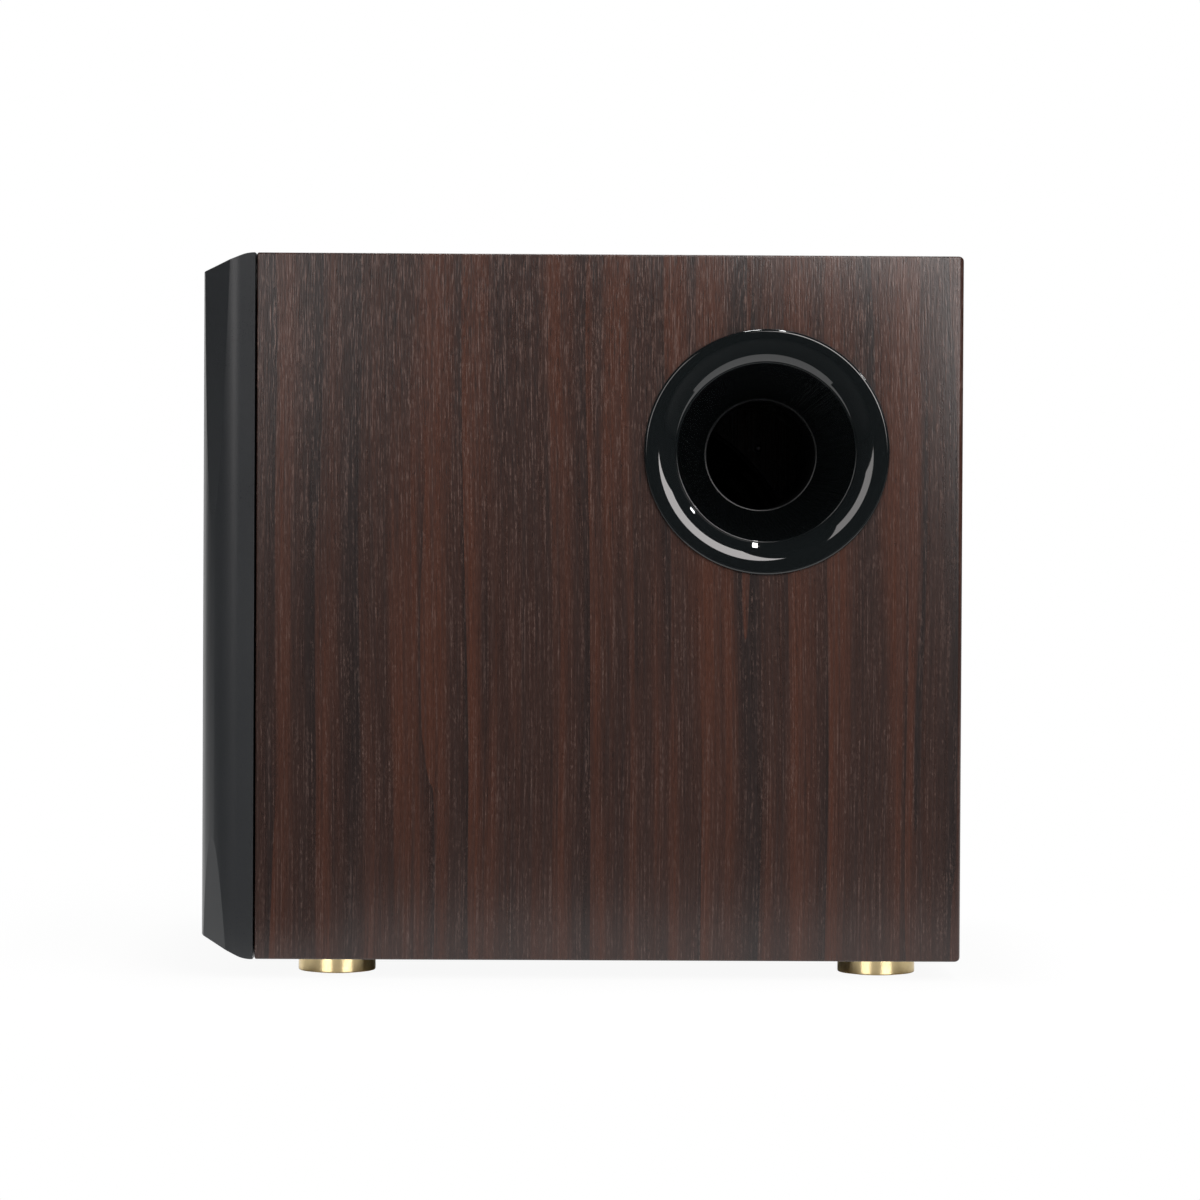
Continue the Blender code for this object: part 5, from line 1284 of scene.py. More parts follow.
class SUBWOOFER_OT_driver(Operator):
    """Makes the cone, dust cap, trim ring and gasket and finishes the driver's metal"""

    bl_idname = "subwoofer.driver"
    bl_label = "Driver"

    cone_steps = 28
    screw_room = 0.004       # radius left free round each screw in the trim ring
    trim_bead = 0.0005       # rounding of the trim ring's edges
    gasket_gap = 0.001       # between the gasket and the edge of the board's hole

    def execute(self, context):
        look = context.scene.driver_look
        self.cone(look)
        self.trim(look)
        self.gasket(look)
        repaint(painted_metal("basket_powder_coat", srgb(28, 28, 29), 0.55), "driver_basket")
        repaint(bare_metal("motor_zinc", (0.62, 0.62, 0.60), 0.34), "top_plate", "pole_yoke")
        repaint(fibrous("ferrite_dark", srgb(46, 46, 48), srgb(66, 66, 68), 900, 0.00008, 0.6), "magnet_ring")
        repaint(bare_metal("former_aluminium", (0.78, 0.78, 0.77), 0.3), "voice_coil_former")
        repaint(wound_wire("coil_enamel", (0.72, 0.34, 0.14), (1, 0, 0), 0.0005), "voice_coil")
        repaint(moulded("terminal_board", srgb(40, 34, 30), 0.5), "driver_terminals")
        return {"FINISHED"}

    def cone(self, look):
        """The paper cone and its dust cap."""
        colour, cap_colour = tuple(look.cone_colour), tuple(look.cap_colour)
        paper = fibrous("cone_paper_black", colour, shade(colour, 1.9), 700)
        run = (look.cone_rim - look.cone_neck) / self.cone_steps
        radii = [look.cone_neck + run * k for k in range(self.cone_steps + 1)]
        line = [(radius, cone_height(look, radius)) for radius in radii]
        line.append((look.cone_outer, -look.cone_front - look.paper / 2))
        piece = new_piece("paper_cone", turned(sheet(line, look.paper)), DRIVER_AXIS)
        dress(piece, paper, "cone_paper", "cone", body="cone_assembly")
        foot = cone_height(look, look.cap_radius) + 2 * look.paper + SEAT
        dome = arc((0, foot), (look.cap_radius, look.cap_rise), 90, 0, 20)
        dome[0] = (0, foot + look.cap_rise)
        paper = fibrous("cap_paper_black", cap_colour, shade(cap_colour, 1.6), 900, 0.00006, 0.55)
        piece = new_piece("dome_cap", turned(sheet(dome, look.paper)), DRIVER_AXIS)
        dress(piece, paper, "cone_paper", "dust_cap", body="cone_assembly")

    def trim(self, look):
        """The rubber ring on the driver's edge, with clearance for the screws."""
        low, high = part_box("trim_ring")
        base, top = LEFT - high.x, LEFT - low.x
        bead = self.trim_bead
        inner, outer = look.trim_inner, look.trim_outer
        profile = [(inner, base), *arc((inner + bead, top - bead), (bead, bead), 180, 90, 4),
                   *arc((outer - bead, top - bead), (bead, bead), 90, 0, 4), (outer, base)]
        piece = new_piece("trim_band", turned(profile, HOLE_STEPS), DRIVER_AXIS)
        for k in SCREWS:
            spot = DRIVER_AXIS.inverted() @ centre(f"driver_screw_{k}")
            combine(piece, moved(rod(self.screw_room, -CUT, CUT), at(spot.x, spot.y)))
        dress(piece, soft_rubber("trim_rubber_black", srgb(30, 30, 31)), "trim_rubber", "trim_ring")

    def gasket(self, look):
        """A ring of squeezed foam under the driver's edge."""
        whole = span("driver_gasket")
        outer, inner = whole.z / 2, look.hole + self.gasket_gap
        bead = whole.x / 2
        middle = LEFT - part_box("driver_gasket")[0].x - bead
        squeezed = arc((outer - bead, middle), (bead, bead), 90, -90, 6)
        squeezed += arc((inner + bead, middle), (bead, bead), 270, 90, 6)
        foam = fibrous("gasket_foam_black", srgb(30, 30, 30), srgb(52, 52, 52), 1200, 0.0001)
        piece = new_piece("foam_gasket", turned(squeezed), DRIVER_AXIS)
        dress(piece, foam, "gasket_foam", "driver_gasket")


def cone_height(look, radius):
    """Height of the middle of the cone's paper at a radius inside its rim."""
    part = (look.cone_rim - radius) / (look.cone_rim - look.cone_neck)
    return -look.cone_front - look.paper / 2 - look.cone_depth * max(part, 0) ** 1.25


class SUBWOOFER_OT_suspension(Operator):
    """Makes the surround and the spider, which bend between the frame and the cone"""

    bl_idname = "subwoofer.suspension"
    bl_label = "Suspension"

    flat = 0.003             # of the surround beside its roll
    pleats_from = 0.004      # where the spider's pleats start and end, from its inner edge
    pleats_to = 0.020
    pleat_ease = 0.002       # of the spider beside its pleats
    cloth = 0.0008
    waves = 3
    wave_steps = 36
    sector_steps = 8

    def execute(self, context):
        look = context.scene.driver_look
        self.surround(look)
        self.spider(look)
        return {"FINISHED"}

    def surround(self, look):
        """A half roll of rubber with flat edges."""
        middle = SEAT - look.cone_front + look.rubber / 2
        roll = arc((look.roll_centre, middle), (look.roll, look.roll), 180, 0, 20)
        outer, inner = look.roll_centre + look.roll, look.roll_centre - look.roll
        line = [(look.roll_inner, middle), (look.roll_inner + self.flat, middle), *roll,
                (outer + self.flat, middle), (look.roll_outer, middle)]
        rubber = soft_rubber("surround_rubber_black", tuple(look.rubber_colour), 0.42)
        self.bending_ring(look, "surround_part", sheet(line, look.rubber), (outer, inner), rubber,
                          "surround_rubber", "surround")

    def spider(self, look):
        """A ring of pleated cloth."""
        whole = span("spider")
        height = LEFT - centre("spider").x
        inner, outer = look.cone_neck, whole.z / 2
        start, stop = inner + self.pleats_from, inner + self.pleats_to
        rise = whole.x / 2 - self.cloth / 2
        line = [(inner, height), (inner + self.pleat_ease, height)]
        for k in range(self.wave_steps + 1):
            part = k / self.wave_steps
            wave = rise * math.sin(part * math.tau * self.waves)
            line.append((start + (stop - start) * part, height + wave))
        line += [(stop + self.pleat_ease, height), (outer, height)]
        cloth = woven("spider_cloth_amber", srgb(150, 108, 52), srgb(196, 152, 86))
        self.bending_ring(look, "spider_part", sheet(line, self.cloth), (stop, start), cloth, "spider_cloth",
                          "spider")

    def bending_ring(self, look, name, section, reach, material, slot, node):
        """A ring in sectors, each of which runs along its own radius from the frame to the cone."""

        def on_ring(turn, radius, height):
            return DRIVER_AXIS @ Vector((radius * math.cos(turn), radius * math.sin(turn), height))

        wide = math.tau / look.sectors
        for sector in range(look.sectors):
            first = wide * sector
            turns = [first + wide * k / self.sector_steps for k in range(self.sector_steps + 1)]
            loops = [[on_ring(turn, *point) for point in section] for turn in turns]
            piece = coat(new_piece(f"{name}_{sector + 1}", loft(loops)), material)
            start, end = [on_ring(first + wide / 2, radius, section[0][1]) for radius in reach]
            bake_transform(piece)
            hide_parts(node)


class SUBWOOFER_OT_grille(Operator):
    """Makes the domed pierced grille and the ring that holds it"""

    bl_idname = "subwoofer.grille"
    bl_label = "Grille"

    rim_start = 0.955        # where the plain rim and the holes meet, as shares of the dome's radius
    holes_end = 0.975
    mesh_sheet = 0.8         # the pierced sheet's thickness as a share of the rim's
    dome_power = 6           # the higher, the flatter the dome's middle
    trim_cuts = 60
    lip_bead = 0.0006
    ease = 0.0016            # rounding of the ring's crown

    def execute(self, context):
        look = context.scene.grille_look
        paint = painted_metal("grille_powder_coat", tuple(look.colour), 0.45)
        piece = new_piece("grille_mesh", self.mesh(look), DRIVER_AXIS)
        thick = piece.modifiers.new("sheet", "SOLIDIFY")
        thick.thickness = look.sheet * self.mesh_sheet
        thick.offset = 0
        settle(piece)
        dress(piece, paint, "grille_paint", "grille", smooth=40)
        shares = [self.rim_start + (1 - self.rim_start) * k / 10 for k in range(11)]
        line = [(look.radius * part, self.dome(look, look.radius * part)) for part in shares]
        line += [(look.radius + look.rim * k / 3, self.dome(look, look.radius)) for k in (1, 2, 3)]
        rim = new_piece("grille_rim", turned(sheet(line, look.sheet), FINE_STEPS), DRIVER_AXIS)
        dress(rim, paint, "grille_paint")
        ring = new_piece("grille_ring", turned(self.ring(look), FINE_STEPS), DRIVER_AXIS)
        satin = moulded("grille_ring_plastic", srgb(34, 34, 36), 0.42)
        dress(ring, satin, "grille_frame_plastic", "grille_frame")
        return {"FINISHED"}

    def ring(self, look):
        """The section of the ring that holds the grille's rim."""
        inside = look.radius + look.rim + SEAT
        outside = span("grille_frame").z / 2
        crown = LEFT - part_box("grille_frame")[0].x
        lip = look.radius + look.sheet
        under = 2 * SEAT + look.sheet
        bead, ease = self.lip_bead, self.ease
        return [(lip, under), *arc((lip + bead, under + bead), (bead, bead), 180, 100, 5),
                *arc((inside, crown - ease), (ease / 2, ease), 120, 90, 4),
                *arc((outside - ease, crown - ease), (ease, ease), 90, 0, 8), (outside, SEAT), (inside, SEAT),
                (inside, under)]

    def dome(self, look, radius):
        """Height of the dome's middle at a radius."""
        foot = SEAT + look.sheet / 2
        return foot + look.rise * (1 - min(1, radius / look.radius) ** self.dome_power)

    def mesh(self, look):
        """A sheet of six-sided holes, trimmed to a circle and pressed to the dome."""
        bm = bmesh.new()
        corner = look.pitch / math.sqrt(3)
        hole = (look.pitch - look.bar) / math.sqrt(3)
        edge = look.radius * self.holes_end
        count = int(edge / look.pitch * 1.2) + 1
        turns = [math.radians(30 + 60 * k) for k in range(6)]
        for row in range(-count, count + 1):
            for column in range(-count, count + 1):
                x = look.pitch * (column + row / 2)
                y = look.pitch * row * math.sqrt(3) / 2
                if math.hypot(x, y) > edge + look.pitch:
                    continue
                outer, inner = [[bm.verts.new((x + reach * math.cos(t), y + reach * math.sin(t), 0))
                                 for t in turns] for reach in (corner, hole)]
                for k in range(6):
                    bm.faces.new((outer[k - 1], outer[k], inner[k], inner[k - 1]))
        bmesh.ops.remove_doubles(bm, verts=bm.verts[:], dist=0.00001)
        for k in range(self.trim_cuts):
            t = math.tau * k / self.trim_cuts
            out = Vector((math.cos(t), math.sin(t), 0))
            slice_off(bm, out * edge, out, close=False)
        for vertex in bm.verts:
            vertex.co.z = self.dome(look, vertex.co.to_2d().length)
        return bm


class SUBWOOFER_OT_amp_plate(Operator):
    """Makes the amplifier's plate, gasket and heat sink"""

    bl_idname = "subwoofer.amp_plate"
    bl_label = "Amplifier plate"

    screw_hole = 0.0022
    shaft_hole = 0.0048
    jack_hole = 0.0045
    phase_hole = (0.0086, 0.0046)
    power_hole = (0.0146, 0.0196)
    inlet_hole = (0.0280, 0.0202)
    seal_margin = 0.014      # width of the seal
    seal_edge = 0.0004
    fin_root = 0.0006        # rounding where a fin meets the base
    base_edge = 0.0005       # chamfer of the heat sink's base
    fin_crown = 0.94         # width of a fin's crown, as a share of the fin's thickness

    def execute(self, context):
        look = context.scene.amp_look
        whole = span("amp_plate")
        outline = rounded(whole.x, whole.z, look.corner)
        screws = [circle(self.screw_hole, on_amp(f"amp_screw_{k}"), PIN_STEPS) for k in SCREWS]
        holes = [circle(self.shaft_hole, on_amp(f"{label}_control")) for label in ("level", "crossover")]
        holes += [circle(self.jack_hole, spot) for spot in jack_spots(look)]
        holes += [rectangle(*self.phase_hole, on_amp("phase_switch_case")),
                  rectangle(*self.power_hole, on_amp("power_switch_frame")),
                  rectangle(*self.inlet_hole, on_amp("mains_inlet"))]
        plate = flat_piece([outline, *screws, *holes], -look.plate, 0, look.bevel)
        paint = painted_metal("plate_powder_coat", tuple(look.colour), 0.52)
        dress(new_piece("control_plate", plate, AMP_FACE), paint, "amp_plate_paint", "amp_plate", level=True)
        opening = rectangle(whole.x - 2 * self.seal_margin, whole.z - 2 * self.seal_margin)
        seal = flat_piece([outline, opening, *screws], *amp_reach("amp_gasket"), self.seal_edge)
        foam = fibrous("plate_seal_foam", srgb(32, 32, 32), srgb(54, 54, 54), 1200, 0.0001)
        dress(new_piece("plate_seal", seal, AMP_FACE), foam, "gasket_foam", "amp_gasket", level=True)
        self.heat_sink(look)
        return {"FINISHED"}

    def heat_sink(self, look):
        """A comb of fins with rounded crowns on a base."""
        whole = span("heat_sink")
        side, up = whole.x / 2, whole.z / 2
        x, y = on_amp("heat_sink")
        base = SEAT + look.fin_base
        crown = SEAT + whole.y
        half, root, edge = look.fin / 2, self.fin_root, self.base_edge
        count = int((whole.x - look.fin) / look.fin_pitch) + 1
        first = -(count - 1) * look.fin_pitch / 2
        comb = [(-side, SEAT), (side, SEAT), (side, base - edge), (side - edge, base)]
        for k in reversed(range(count)):
            middle = first + k * look.fin_pitch
            comb += arc((middle + half + root, base + root), (root, root), 270, 180, 3)
            comb += arc((middle, crown - half), (half * self.fin_crown, half), 0, 180, 8)
            comb += arc((middle - half - root, base + root), (root, root), 0, -90, 3)
        comb += [(edge - side, base), (-side, base - edge)]
        loops = [[(x + a, y + end, b) for a, b in comb] for end in (-up, up)]
        piece = soften(new_piece("finned_sink", loft(loops), AMP_FACE), 0.0002, 1, 60)
        anodise = bare_metal("sink_black_anodise", tuple(look.fin_colour), 0.44, (60, 900, 900), 0.35)
        dress(piece, anodise, "heat_sink_anodise", "heat_sink")


def jack_spots(look):
    """The phono jacks' middles on the amplifier's face."""
    x, y = on_amp("jack_block")
    half = look.jack_spacing / 2
    return [(x + sx * half, y + sy * half) for sx in (-1, 1) for sy in (1, -1)]


PRINT = (-0.0001, 0.00012)   # lowest and highest faces of a mark on the plate
FIGURES = 0.0034             # height of printed numbers
CROWN = 0.0128               # height of a knob over the plate


class SUBWOOFER_OT_knobs(Operator):
    """Makes the two fluted knobs, their marks and the dials"""

    bl_idname = "subwoofer.knobs"
    bl_label = "Knobs"

    ends = {"level": ("0", "10"), "crossover": ("50", "150")}
    ticks = 11
    tick_turn = 30           # degrees from tick to tick
    first_tick = 240
    tick_reach = 0.0112      # from the knob's axis to the ticks
    tick_width = 0.0005
    tick_corner = 0.0002
    long_tick = 0.0026       # at the ends and the middle
    short_tick = 0.0016
    number_spot = (0.0094, -0.0146)     # from the knob's axis to the right-hand number
    pointer = (0.0009, 0.0046, 0.0004)  # width, length and corner of a knob's line
    pointer_out = 0.0048     # from the knob's axis to the middle of that line
    pointer_reach = (CROWN - 0.0004, CROWN - 0.00005)
    pointer_edge = 0.0001
    flute = 0.00055          # depth of the flutes
    foot = 0.0008            # gap under the knob
    shaft = 0.0030

    def execute(self, context):
        look = context.scene.amp_look
        black = moulded("knob_plastic_black", tuple(look.knob_colour), 0.38)
        white = printed("dial_print", tuple(look.print_colour))
        zinc = bare_metal("control_zinc", (0.66, 0.66, 0.64), 0.36)
        for label, numbers in self.ends.items():
            body = f"{label}_knob_body"
            place = amp_place(f"{label}_knob")
            knob = new_piece(f"{label}_fluted_knob", self.knob(look), place)
            dress(knob, black, "knob_plastic", f"{label}_knob", body=body, smooth=28)
            line = rounded(*self.pointer, (0, self.pointer_out))
            line = flat_piece([line], *self.pointer_reach, self.pointer_edge)
            dress(new_piece(f"{label}_pointer", line, place), white, "knob_plastic", body=body)
            dial = new_piece(f"{label}_dial", self.dial(numbers), place)
            dress(dial, white, "amp_plate_paint")
            repaint(zinc, f"{label}_control")
        return {"FINISHED"}

    def dial(self, numbers):
        """Ticks round a knob, longer at the ends and the middle, and the numbers at its ends."""
        marks = []
        for k in range(self.ticks):
            turn = Matrix.Rotation(math.radians(self.first_tick - self.tick_turn * k) - math.pi / 2, 4, "Z")
            long = self.long_tick if k % (self.ticks // 2) == 0 else self.short_tick
            tick = flat_piece([rounded(self.tick_width, long, self.tick_corner)], *PRINT)
            marks.append(moved(tick, turn @ at(0, self.tick_reach + long / 2)))
        x, y = self.number_spot
        for number, side in zip(numbers, (-1, 1)):
            marks.append(moved(figure(number, FIGURES), at(side * x, y)))
        return join_shapes(*marks)

    def knob(self, look):
        """A fluted knob with a skirt, a dished crown and its shaft, as rings of radius, height and flute."""
        foot, crown = self.foot, CROWN
        count = look.flutes * 6
        rings = [(self.shaft, -0.0110, 0), (self.shaft, foot, 0), (0.0091, foot, 0),
                 (0.0095, foot + 0.0003, 0), (0.0095, foot + 0.0012, 0), (0.0091, foot + 0.0016, 0),
                 (0.0087, foot + 0.0018, 0.3),
                 (0.0085, foot + 0.0026, 1), (0.0083, crown - 0.0012, 1), (0.0080, crown - 0.0005, 0.7),
                 (0.0075, crown - 0.0001, 0.2), (0.0070, crown, 0), (0.0064, crown - 0.0001, 0),
                 (0.0058, crown - 0.0003, 0), (0.0020, crown - 0.0004, 0)]
        loops = []
        for radius, height, depth in rings:
            loop = []
            for k in range(count):
                t = math.tau * k / count
                wave = (0.5 + 0.5 * math.cos(t * look.flutes)) ** 1.5
                reach = radius - depth * self.flute * wave
                loop.append((reach * math.cos(t), reach * math.sin(t), height))
            loops.append(loop)
        return loft(loops)


class SUBWOOFER_OT_switches(Operator):
    """Makes the phase switch and the power switch"""

    bl_idname = "subwoofer.switches"
    bl_label = "Switches"

    thumb = 0.004            # sides of the phase switch's thumb, and depth of the block under it
    rib_step = 0.0011
    rib_sides = (0.0005, 0.0044)
    rib_depth = 0.0004
    phase_numbers = (0.0042, -0.0082)   # from the phase switch to its right-hand number
    phase_lines = ((0.0126, 0.0086, 0.0012), (0.0120, 0.0080, 0.0010))  # the printed frame round it
    housing = (0.014, 0.019)            # sides of the power switch behind the plate
    housing_corner = 0.0012
    bezel_edge = 0.0005
    well = (0.0108, 0.0158)             # sides of the hole that the rocker stands in
    well_depth = 0.008
    pin_seat = (0.0015, 0.0050, 0.0063)     # radius of the holes for the rocker's pins, and their reach
    pin_end = 0.006
    axle = -0.001            # height of the rocker's axis over the plate
    axle_radius = 0.0012
    rocker_tilt = 12         # degrees, as the switch stands at rest
    rocker_half = 0.0070     # half the rocker's height
    rocker_side = 0.0051     # half its width
    rocker_ends = 0.0055     # where its curved face starts
    dish = (0.0200, 0.0190)  # radii of that face
    dish_floor = 0.0042
    belly = -0.0012
    mark_up = 0.0042         # from the rocker's middle to each mark
    stroke = (0.0007, 0.0034, 0.0002)
    ring = (0.0017, 0.0011)
    mark_reach = (-0.0002, 0.00008)

    def execute(self, context):
        look = context.scene.amp_look
        black = moulded("switch_plastic_black", srgb(26, 26, 27), 0.36)
        white = printed("switch_print", tuple(look.print_colour))
        self.phase(black, white)
        self.power(black, white)
        return {"FINISHED"}

    def phase(self, black, white):
        """A slider with a ribbed thumb, and the marks round it."""
        under, top = amp_reach("phase_slider")
        whole, thumb = span("phase_slider"), self.thumb
        block = prism(rectangle(whole.x, whole.z), under, under + thumb)
        piece = new_piece("phase_thumb", block, amp_place("phase_slider"))
        combine(piece, prism(rectangle(thumb, thumb), under + thumb - PROUD, top), "UNION")
        for step in (-self.rib_step, 0, self.rib_step):
            combine(piece, prism(rectangle(*self.rib_sides, (step, 0)), top - self.rib_depth, top + PROUD))
        soften(piece, 0.00012, 2)
        dress(piece, black, "switch_plastic", "phase_slider", body="phase_slider_body")
        repaint(bare_metal("phase_case_zinc", (0.66, 0.66, 0.64), 0.36), "phase_switch_case")
        spot = on_amp("phase_switch_case")
        x, y = self.phase_numbers
        marks = [moved(figure(number, FIGURES), at(spot[0] + side * x, spot[1] + y))
                 for number, side in (("0", -1), ("180", 1))]
        marks.append(flat_piece([rounded(*line, spot) for line in self.phase_lines], *PRINT))
        dress(new_piece("phase_marks", join_shapes(*marks), AMP_FACE), white, "amp_plate_paint")

    def power(self, black, white):
        """A housing with a bezel, and a rocker on two pins."""
        under, top = amp_reach("power_switch_frame")
        whole = span("power_switch_frame")
        place = amp_place("power_switch_frame")
        sideways = Matrix.Rotation(math.pi / 2, 4, "Y")
        piece = new_piece("switch_housing", prism(rectangle(*self.housing), under, SEAT + PROUD), place)
        bezel = flat_piece([rounded(whole.x, whole.z, self.housing_corner)], SEAT, top, self.bezel_edge)
        combine(piece, bezel, "UNION")
        combine(piece, prism(rectangle(*self.well), top - self.well_depth, top + PROUD))
        for side in (-1, 1):
            turn = Matrix.Rotation(side * math.pi / 2, 4, "Y")
            combine(piece, moved(rod(*self.pin_seat, PIN_STEPS), at(0, 0, self.axle) @ turn))
        dress(piece, black, "switch_plastic", "power_switch_frame", level=True)

        wide, deep = self.dish
        half, ends, belly = self.rocker_half, self.rocker_ends, self.belly
        face = arc((0, self.dish_floor + deep), self.dish, 249.5, 290.5, 16)
        section = [(-half, belly), (0, 2 * belly), (half, belly), (half, ends), *face[::-1][1:-1],
                   (-half, ends)]
        stand = Matrix(((0, 0, 1, 0), (1, 0, 0, 0), (0, 1, 0, 0), (0, 0, 0, 1)))
        rest = place @ at(0, 0, self.axle) @ Matrix.Rotation(math.radians(self.rocker_tilt), 4, "X")
        block = moved(prism(section, -self.rocker_side, self.rocker_side), stand)
        rocker = soften(new_piece("rocker_key", block, rest), 0.0004, 2, 35)
        pins = rod(self.axle_radius, -self.pin_end, self.pin_end, PIN_STEPS)
        combine(rocker, moved(pins, sideways), "UNION")
        dress(rocker, black, "switch_plastic", "power_rocker", body="power_rocker_body")
        for name, outline, up in (("on", [rounded(*self.stroke)], self.mark_up),
                                  ("off", [circle(radius) for radius in self.ring], -self.mark_up)):
            height = self.dish_floor + deep - deep * math.sqrt(1 - (up / wide) ** 2)
            lean = Matrix.Rotation(math.atan(deep / wide * up / wide), 4, "X")
            mark = moved(flat_piece(outline, *self.mark_reach), at(0, up, height) @ lean)
            piece = new_piece(f"rocker_mark_{name}", mark, rest)
            dress(piece, white, "switch_plastic", body="power_rocker_body")


class SUBWOOFER_OT_sockets(Operator):
    """Makes the mains inlet and the phono jacks"""

    bl_idname = "subwoofer.sockets"
    bl_label = "Sockets"

    inlet_sides = (0.0274, 0.0196)
    inlet_wall = 0.0014
    inlet_corner = 0.005     # cut off the well's two upper corners
    inlet_floor = -0.0145
    blades = ((-0.007, -0.002), (0, 0.002), (0.007, -0.002))
    blade_sides = (0.002, 0.004)
    blade_corner = 0.0003
    blade_levels = ((-0.0150, 1), (-0.0028, 1), (-0.0022, 0.85), (-0.0020, 0.6))    # height and share
    bezel_corner = 0.0016
    bezel_edge = 0.0005

    def execute(self, context):
        self.inlet()
        self.jacks(context.scene.amp_look)
        return {"FINISHED"}

    def inlet(self):
        """A housing with a six-sided well and three blades."""
        under, top = amp_reach("mains_inlet")
        whole = span("mains_inlet")
        place = amp_place("mains_inlet")
        black = moulded("inlet_plastic_black", srgb(24, 24, 25), 0.42)
        piece = new_piece("inlet_housing", prism(rectangle(*self.inlet_sides), under, SEAT + PROUD), place)
        bezel = flat_piece([rounded(whole.x, whole.z, self.bezel_corner)], SEAT, top, self.bezel_edge)
        combine(piece, bezel, "UNION")
        right, up = (side / 2 - self.inlet_wall for side in self.inlet_sides)
        cut = self.inlet_corner
        well = [(-right, -up), (right, -up), (right, up - cut), (right - cut, up), (cut - right, up),
                (-right, up - cut)]
        combine(piece, prism(well, self.inlet_floor, top + PROUD))
        dress(piece, black, "inlet_plastic", "mains_inlet", level=True)
        nickel = bare_metal("pin_nickel", (0.74, 0.72, 0.68), 0.25, (900, 60, 900))
        outline = rounded(*self.blade_sides, self.blade_corner)
        for k, (x, y) in enumerate(self.blades):
            blade = loft([[(x + a * part, y + b * part, z) for a, b in outline]
                          for z, part in self.blade_levels])
            dress(new_piece(f"inlet_blade_{k + 1}", blade, place), nickel, "inlet_plastic")

    def jacks(self, look):
        """A block behind the plate, and four jacks with gold shells and coloured inserts and collars."""
        back, top = amp_reach("jack_block")
        front = -look.plate - SEAT
        whole = span("jack_block")
        spot = on_amp("jack_block")
        block = new_piece("jack_housing", prism(rectangle(whole.x, whole.z, spot), back, front), AMP_FACE)
        soften(block, 0.0004)
        dress(block, moulded("jack_plastic_black", srgb(26, 26, 27), 0.4), "jack_plastic", "jack_block")
        gold = turned_metal("jack_gold", (0.83, 0.64, 0.30), 0.24)
        white = moulded("jack_white", srgb(206, 206, 200), 0.42)
        red = moulded("jack_red", srgb(150, 22, 20), 0.42)
        shell = [(0.0034, front), (0.0042, front), (0.0042, top - 0.0005), (0.0039, top - 0.0001),
                 (0.0036, top), (0.0034, top - 0.0002)]
        insert = [(0.0017, front), (0.0034, front), (0.0034, top - 0.0012), (0.0031, top - 0.0009),
                  (0.0021, top - 0.0009), (0.0017, top - 0.0012)]
        collar = [(0.0043, 0), (0.0064, 0), (0.0064, 0.0006), (0.0060, 0.0010), (0.0046, 0.0010),
                  (0.0043, 0.0007)]
        for k, (x, y) in enumerate(jack_spots(look)):
            colour = white if y > spot[1] else red
            for name, section, finish in (("shell", shell, gold), ("insert", insert, colour),
                                          ("collar", collar, colour)):
                piece = new_piece(f"jack_{name}_{k + 1}", turned(section, SOCKET_STEPS), AMP_FACE @ at(x, y))
                dress(piece, finish, "jack_plastic")


LEAD_START = (-0.0590, 0.1288, 0.1681)      # on the circuit board's back
LEAD_END = (-0.07568, 0.08241, 0.1501)      # at the driver's terminals
LEAD_PULL = 0.6          # how far each end of the lead runs straight on, as a share of its span
LEAD_STEPS = 96
LEAD_TWISTS = 5
STRAND = 0.00095         # radius of each of the lead's two strands


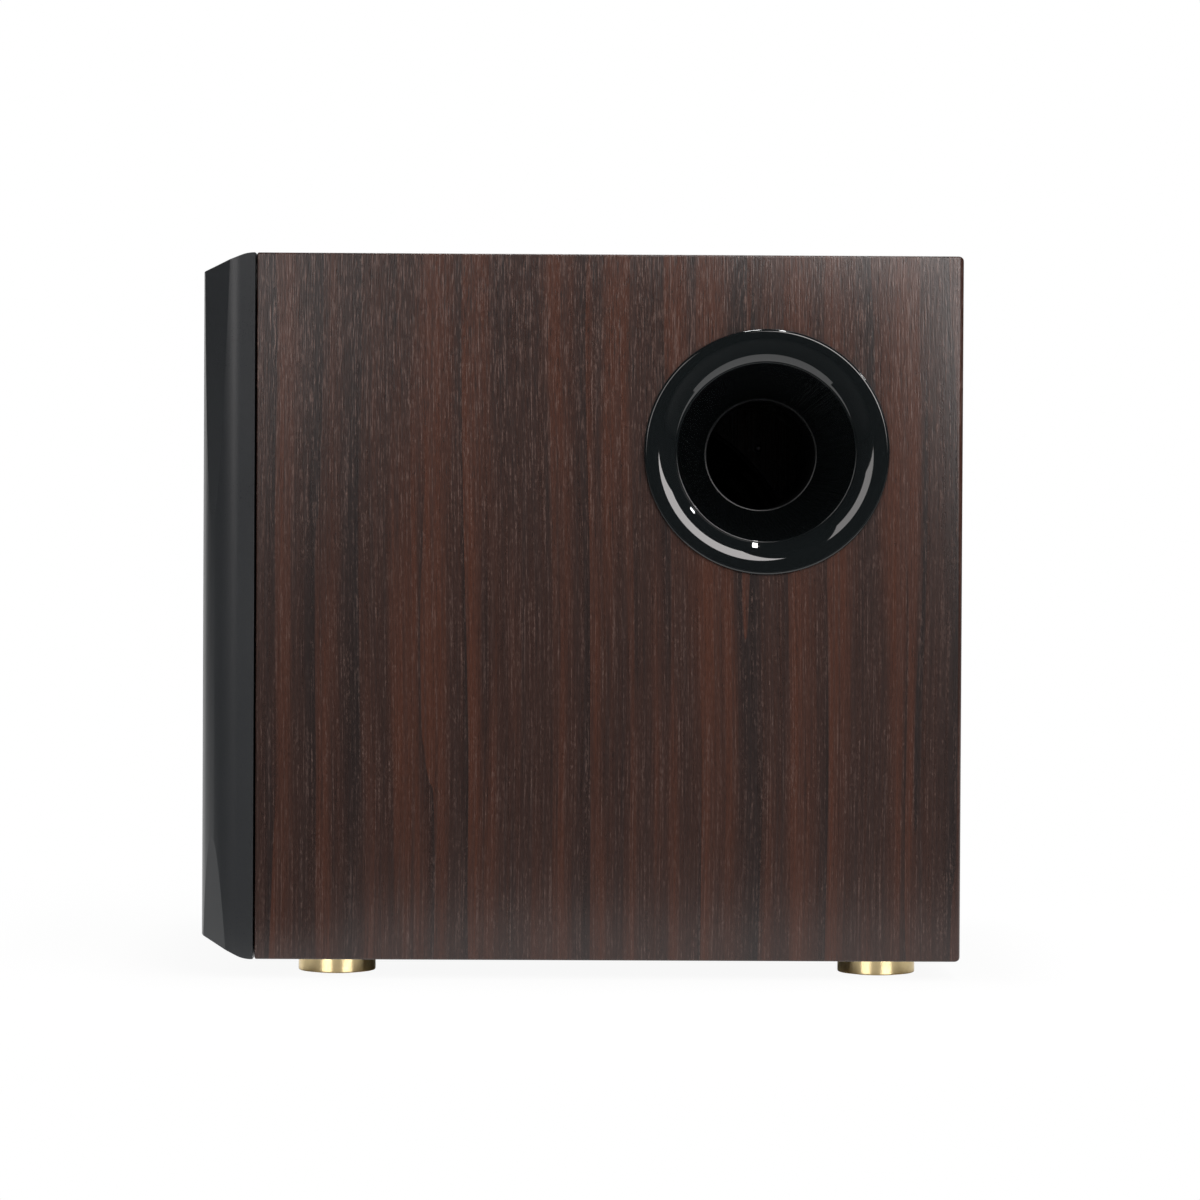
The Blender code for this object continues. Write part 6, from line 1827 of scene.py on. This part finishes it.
class SUBWOOFER_OT_inside(Operator):
    """Finishes the electronics and makes the driver's lead"""

    bl_idname = "subwoofer.inside"
    bl_label = "Inside"

    def execute(self, context):
        repaint(circuit_resin("board_green", (0.012, 0.075, 0.035), (0.03, 0.16, 0.07)), "circuit_board")
        repaint(moulded("capacitor_sleeve_black", srgb(24, 24, 32), 0.3), "capacitor_1", "capacitor_2")
        repaint(bare_metal("core_laminations", (0.40, 0.40, 0.41), 0.42, (60, 1600, 60)), "transformer_core")
        tape = fibrous("winding_tape_yellow", srgb(178, 146, 40), srgb(206, 176, 70), 300, 0.00005, 0.5)
        repaint(tape, "transformer_winding")
        self.lead()
        return {"FINISHED"}

    def lead(self):
        """A twisted pair from the circuit board to the driver's terminals, on the route of the CAD lead."""
        start, end = Vector(LEAD_START), Vector(LEAD_END)
        pull = (end - start).length * LEAD_PULL
        bends = (start, start + Vector((0, -pull, 0)), end + Vector((pull, 0, 0)), end)
        route = []
        for k in range(LEAD_STEPS + 1):
            t = k / LEAD_STEPS
            weights = ((1 - t) ** 3, 3 * t * (1 - t) ** 2, 3 * t * t * (1 - t), t ** 3)
            route.append(sum((weight * bend for weight, bend in zip(weights, bends)), Vector()))
        for name, colour, first in (("black", srgb(30, 30, 30), 0), ("red", srgb(140, 24, 22), math.pi)):
            side = Vector((1, 0, 0))
            path, loops = [], []
            for k, point in enumerate(route):
                way = route[min(k + 1, LEAD_STEPS)] - route[max(k - 1, 0)]
                side = (side - way * side.dot(way) / way.length_squared).normalized()
                up = way.normalized().cross(side)
                turn = first + math.tau * LEAD_TWISTS * k / LEAD_STEPS
                path.append(point + (side * math.cos(turn) + up * math.sin(turn)) * STRAND)
                loops.append([path[-1] + side * a + up * b for a, b in circle(STRAND, steps=12)])
            strand = new_piece(f"lead_strand_{name}", loft(loops))
            dress(strand, soft_rubber(f"lead_sleeve_{name}", colour), "lead_sleeve", "driver_lead", smooth=60)
            length = sum((b - a).length for a, b in zip(path, path[1:]))


OPERATORS = (SUBWOOFER_OT_camera, SUBWOOFER_OT_stage, SUBWOOFER_OT_boards, SUBWOOFER_OT_cover,
             SUBWOOFER_OT_port, SUBWOOFER_OT_feet, SUBWOOFER_OT_driver, SUBWOOFER_OT_suspension,
             SUBWOOFER_OT_grille, SUBWOOFER_OT_amp_plate, SUBWOOFER_OT_screws, SUBWOOFER_OT_knobs,
             SUBWOOFER_OT_switches, SUBWOOFER_OT_sockets, SUBWOOFER_OT_inside)
LOOKS = {"cabinet_look": CabinetLook, "cover_look": CoverLook, "port_look": PortLook, "feet_look": FeetLook,
         "driver_look": DriverLook, "grille_look": GrilleLook, "amp_look": AmpLook, "studio_look": StudioLook}


class SUBWOOFER_PT_looks(Panel):
    """Lists the subwoofer's settings and pieces"""

    bl_label = "Subwoofer"
    bl_space_type = "VIEW_3D"
    bl_region_type = "UI"
    bl_category = "Subwoofer"

    def draw(self, context):
        for name, group in LOOKS.items():
            box = self.layout.box()
            box.label(text=group.__name__)
            for setting in group.__annotations__:
                box.prop(getattr(context.scene, name), setting)
        for operator in OPERATORS:
            self.layout.operator(operator.bl_idname)


def register():
    for group in LOOKS.values():
        bpy.utils.register_class(group)
    for name, group in LOOKS.items():
        setattr(bpy.types.Scene, name, PointerProperty(type=group))
    for operator in OPERATORS:
        bpy.utils.register_class(operator)
    bpy.utils.register_class(SUBWOOFER_PT_looks)


def unregister():
    bpy.utils.unregister_class(SUBWOOFER_PT_looks)
    for operator in reversed(OPERATORS):
        bpy.utils.unregister_class(operator)
    for name, group in LOOKS.items():
        delattr(bpy.types.Scene, name)
        bpy.utils.unregister_class(group)


def main():
    register()
    for operator in OPERATORS:
        group, name = operator.bl_idname.split(".")
        getattr(getattr(bpy.ops, group), name)()


if __name__ == "__main__":
    main()
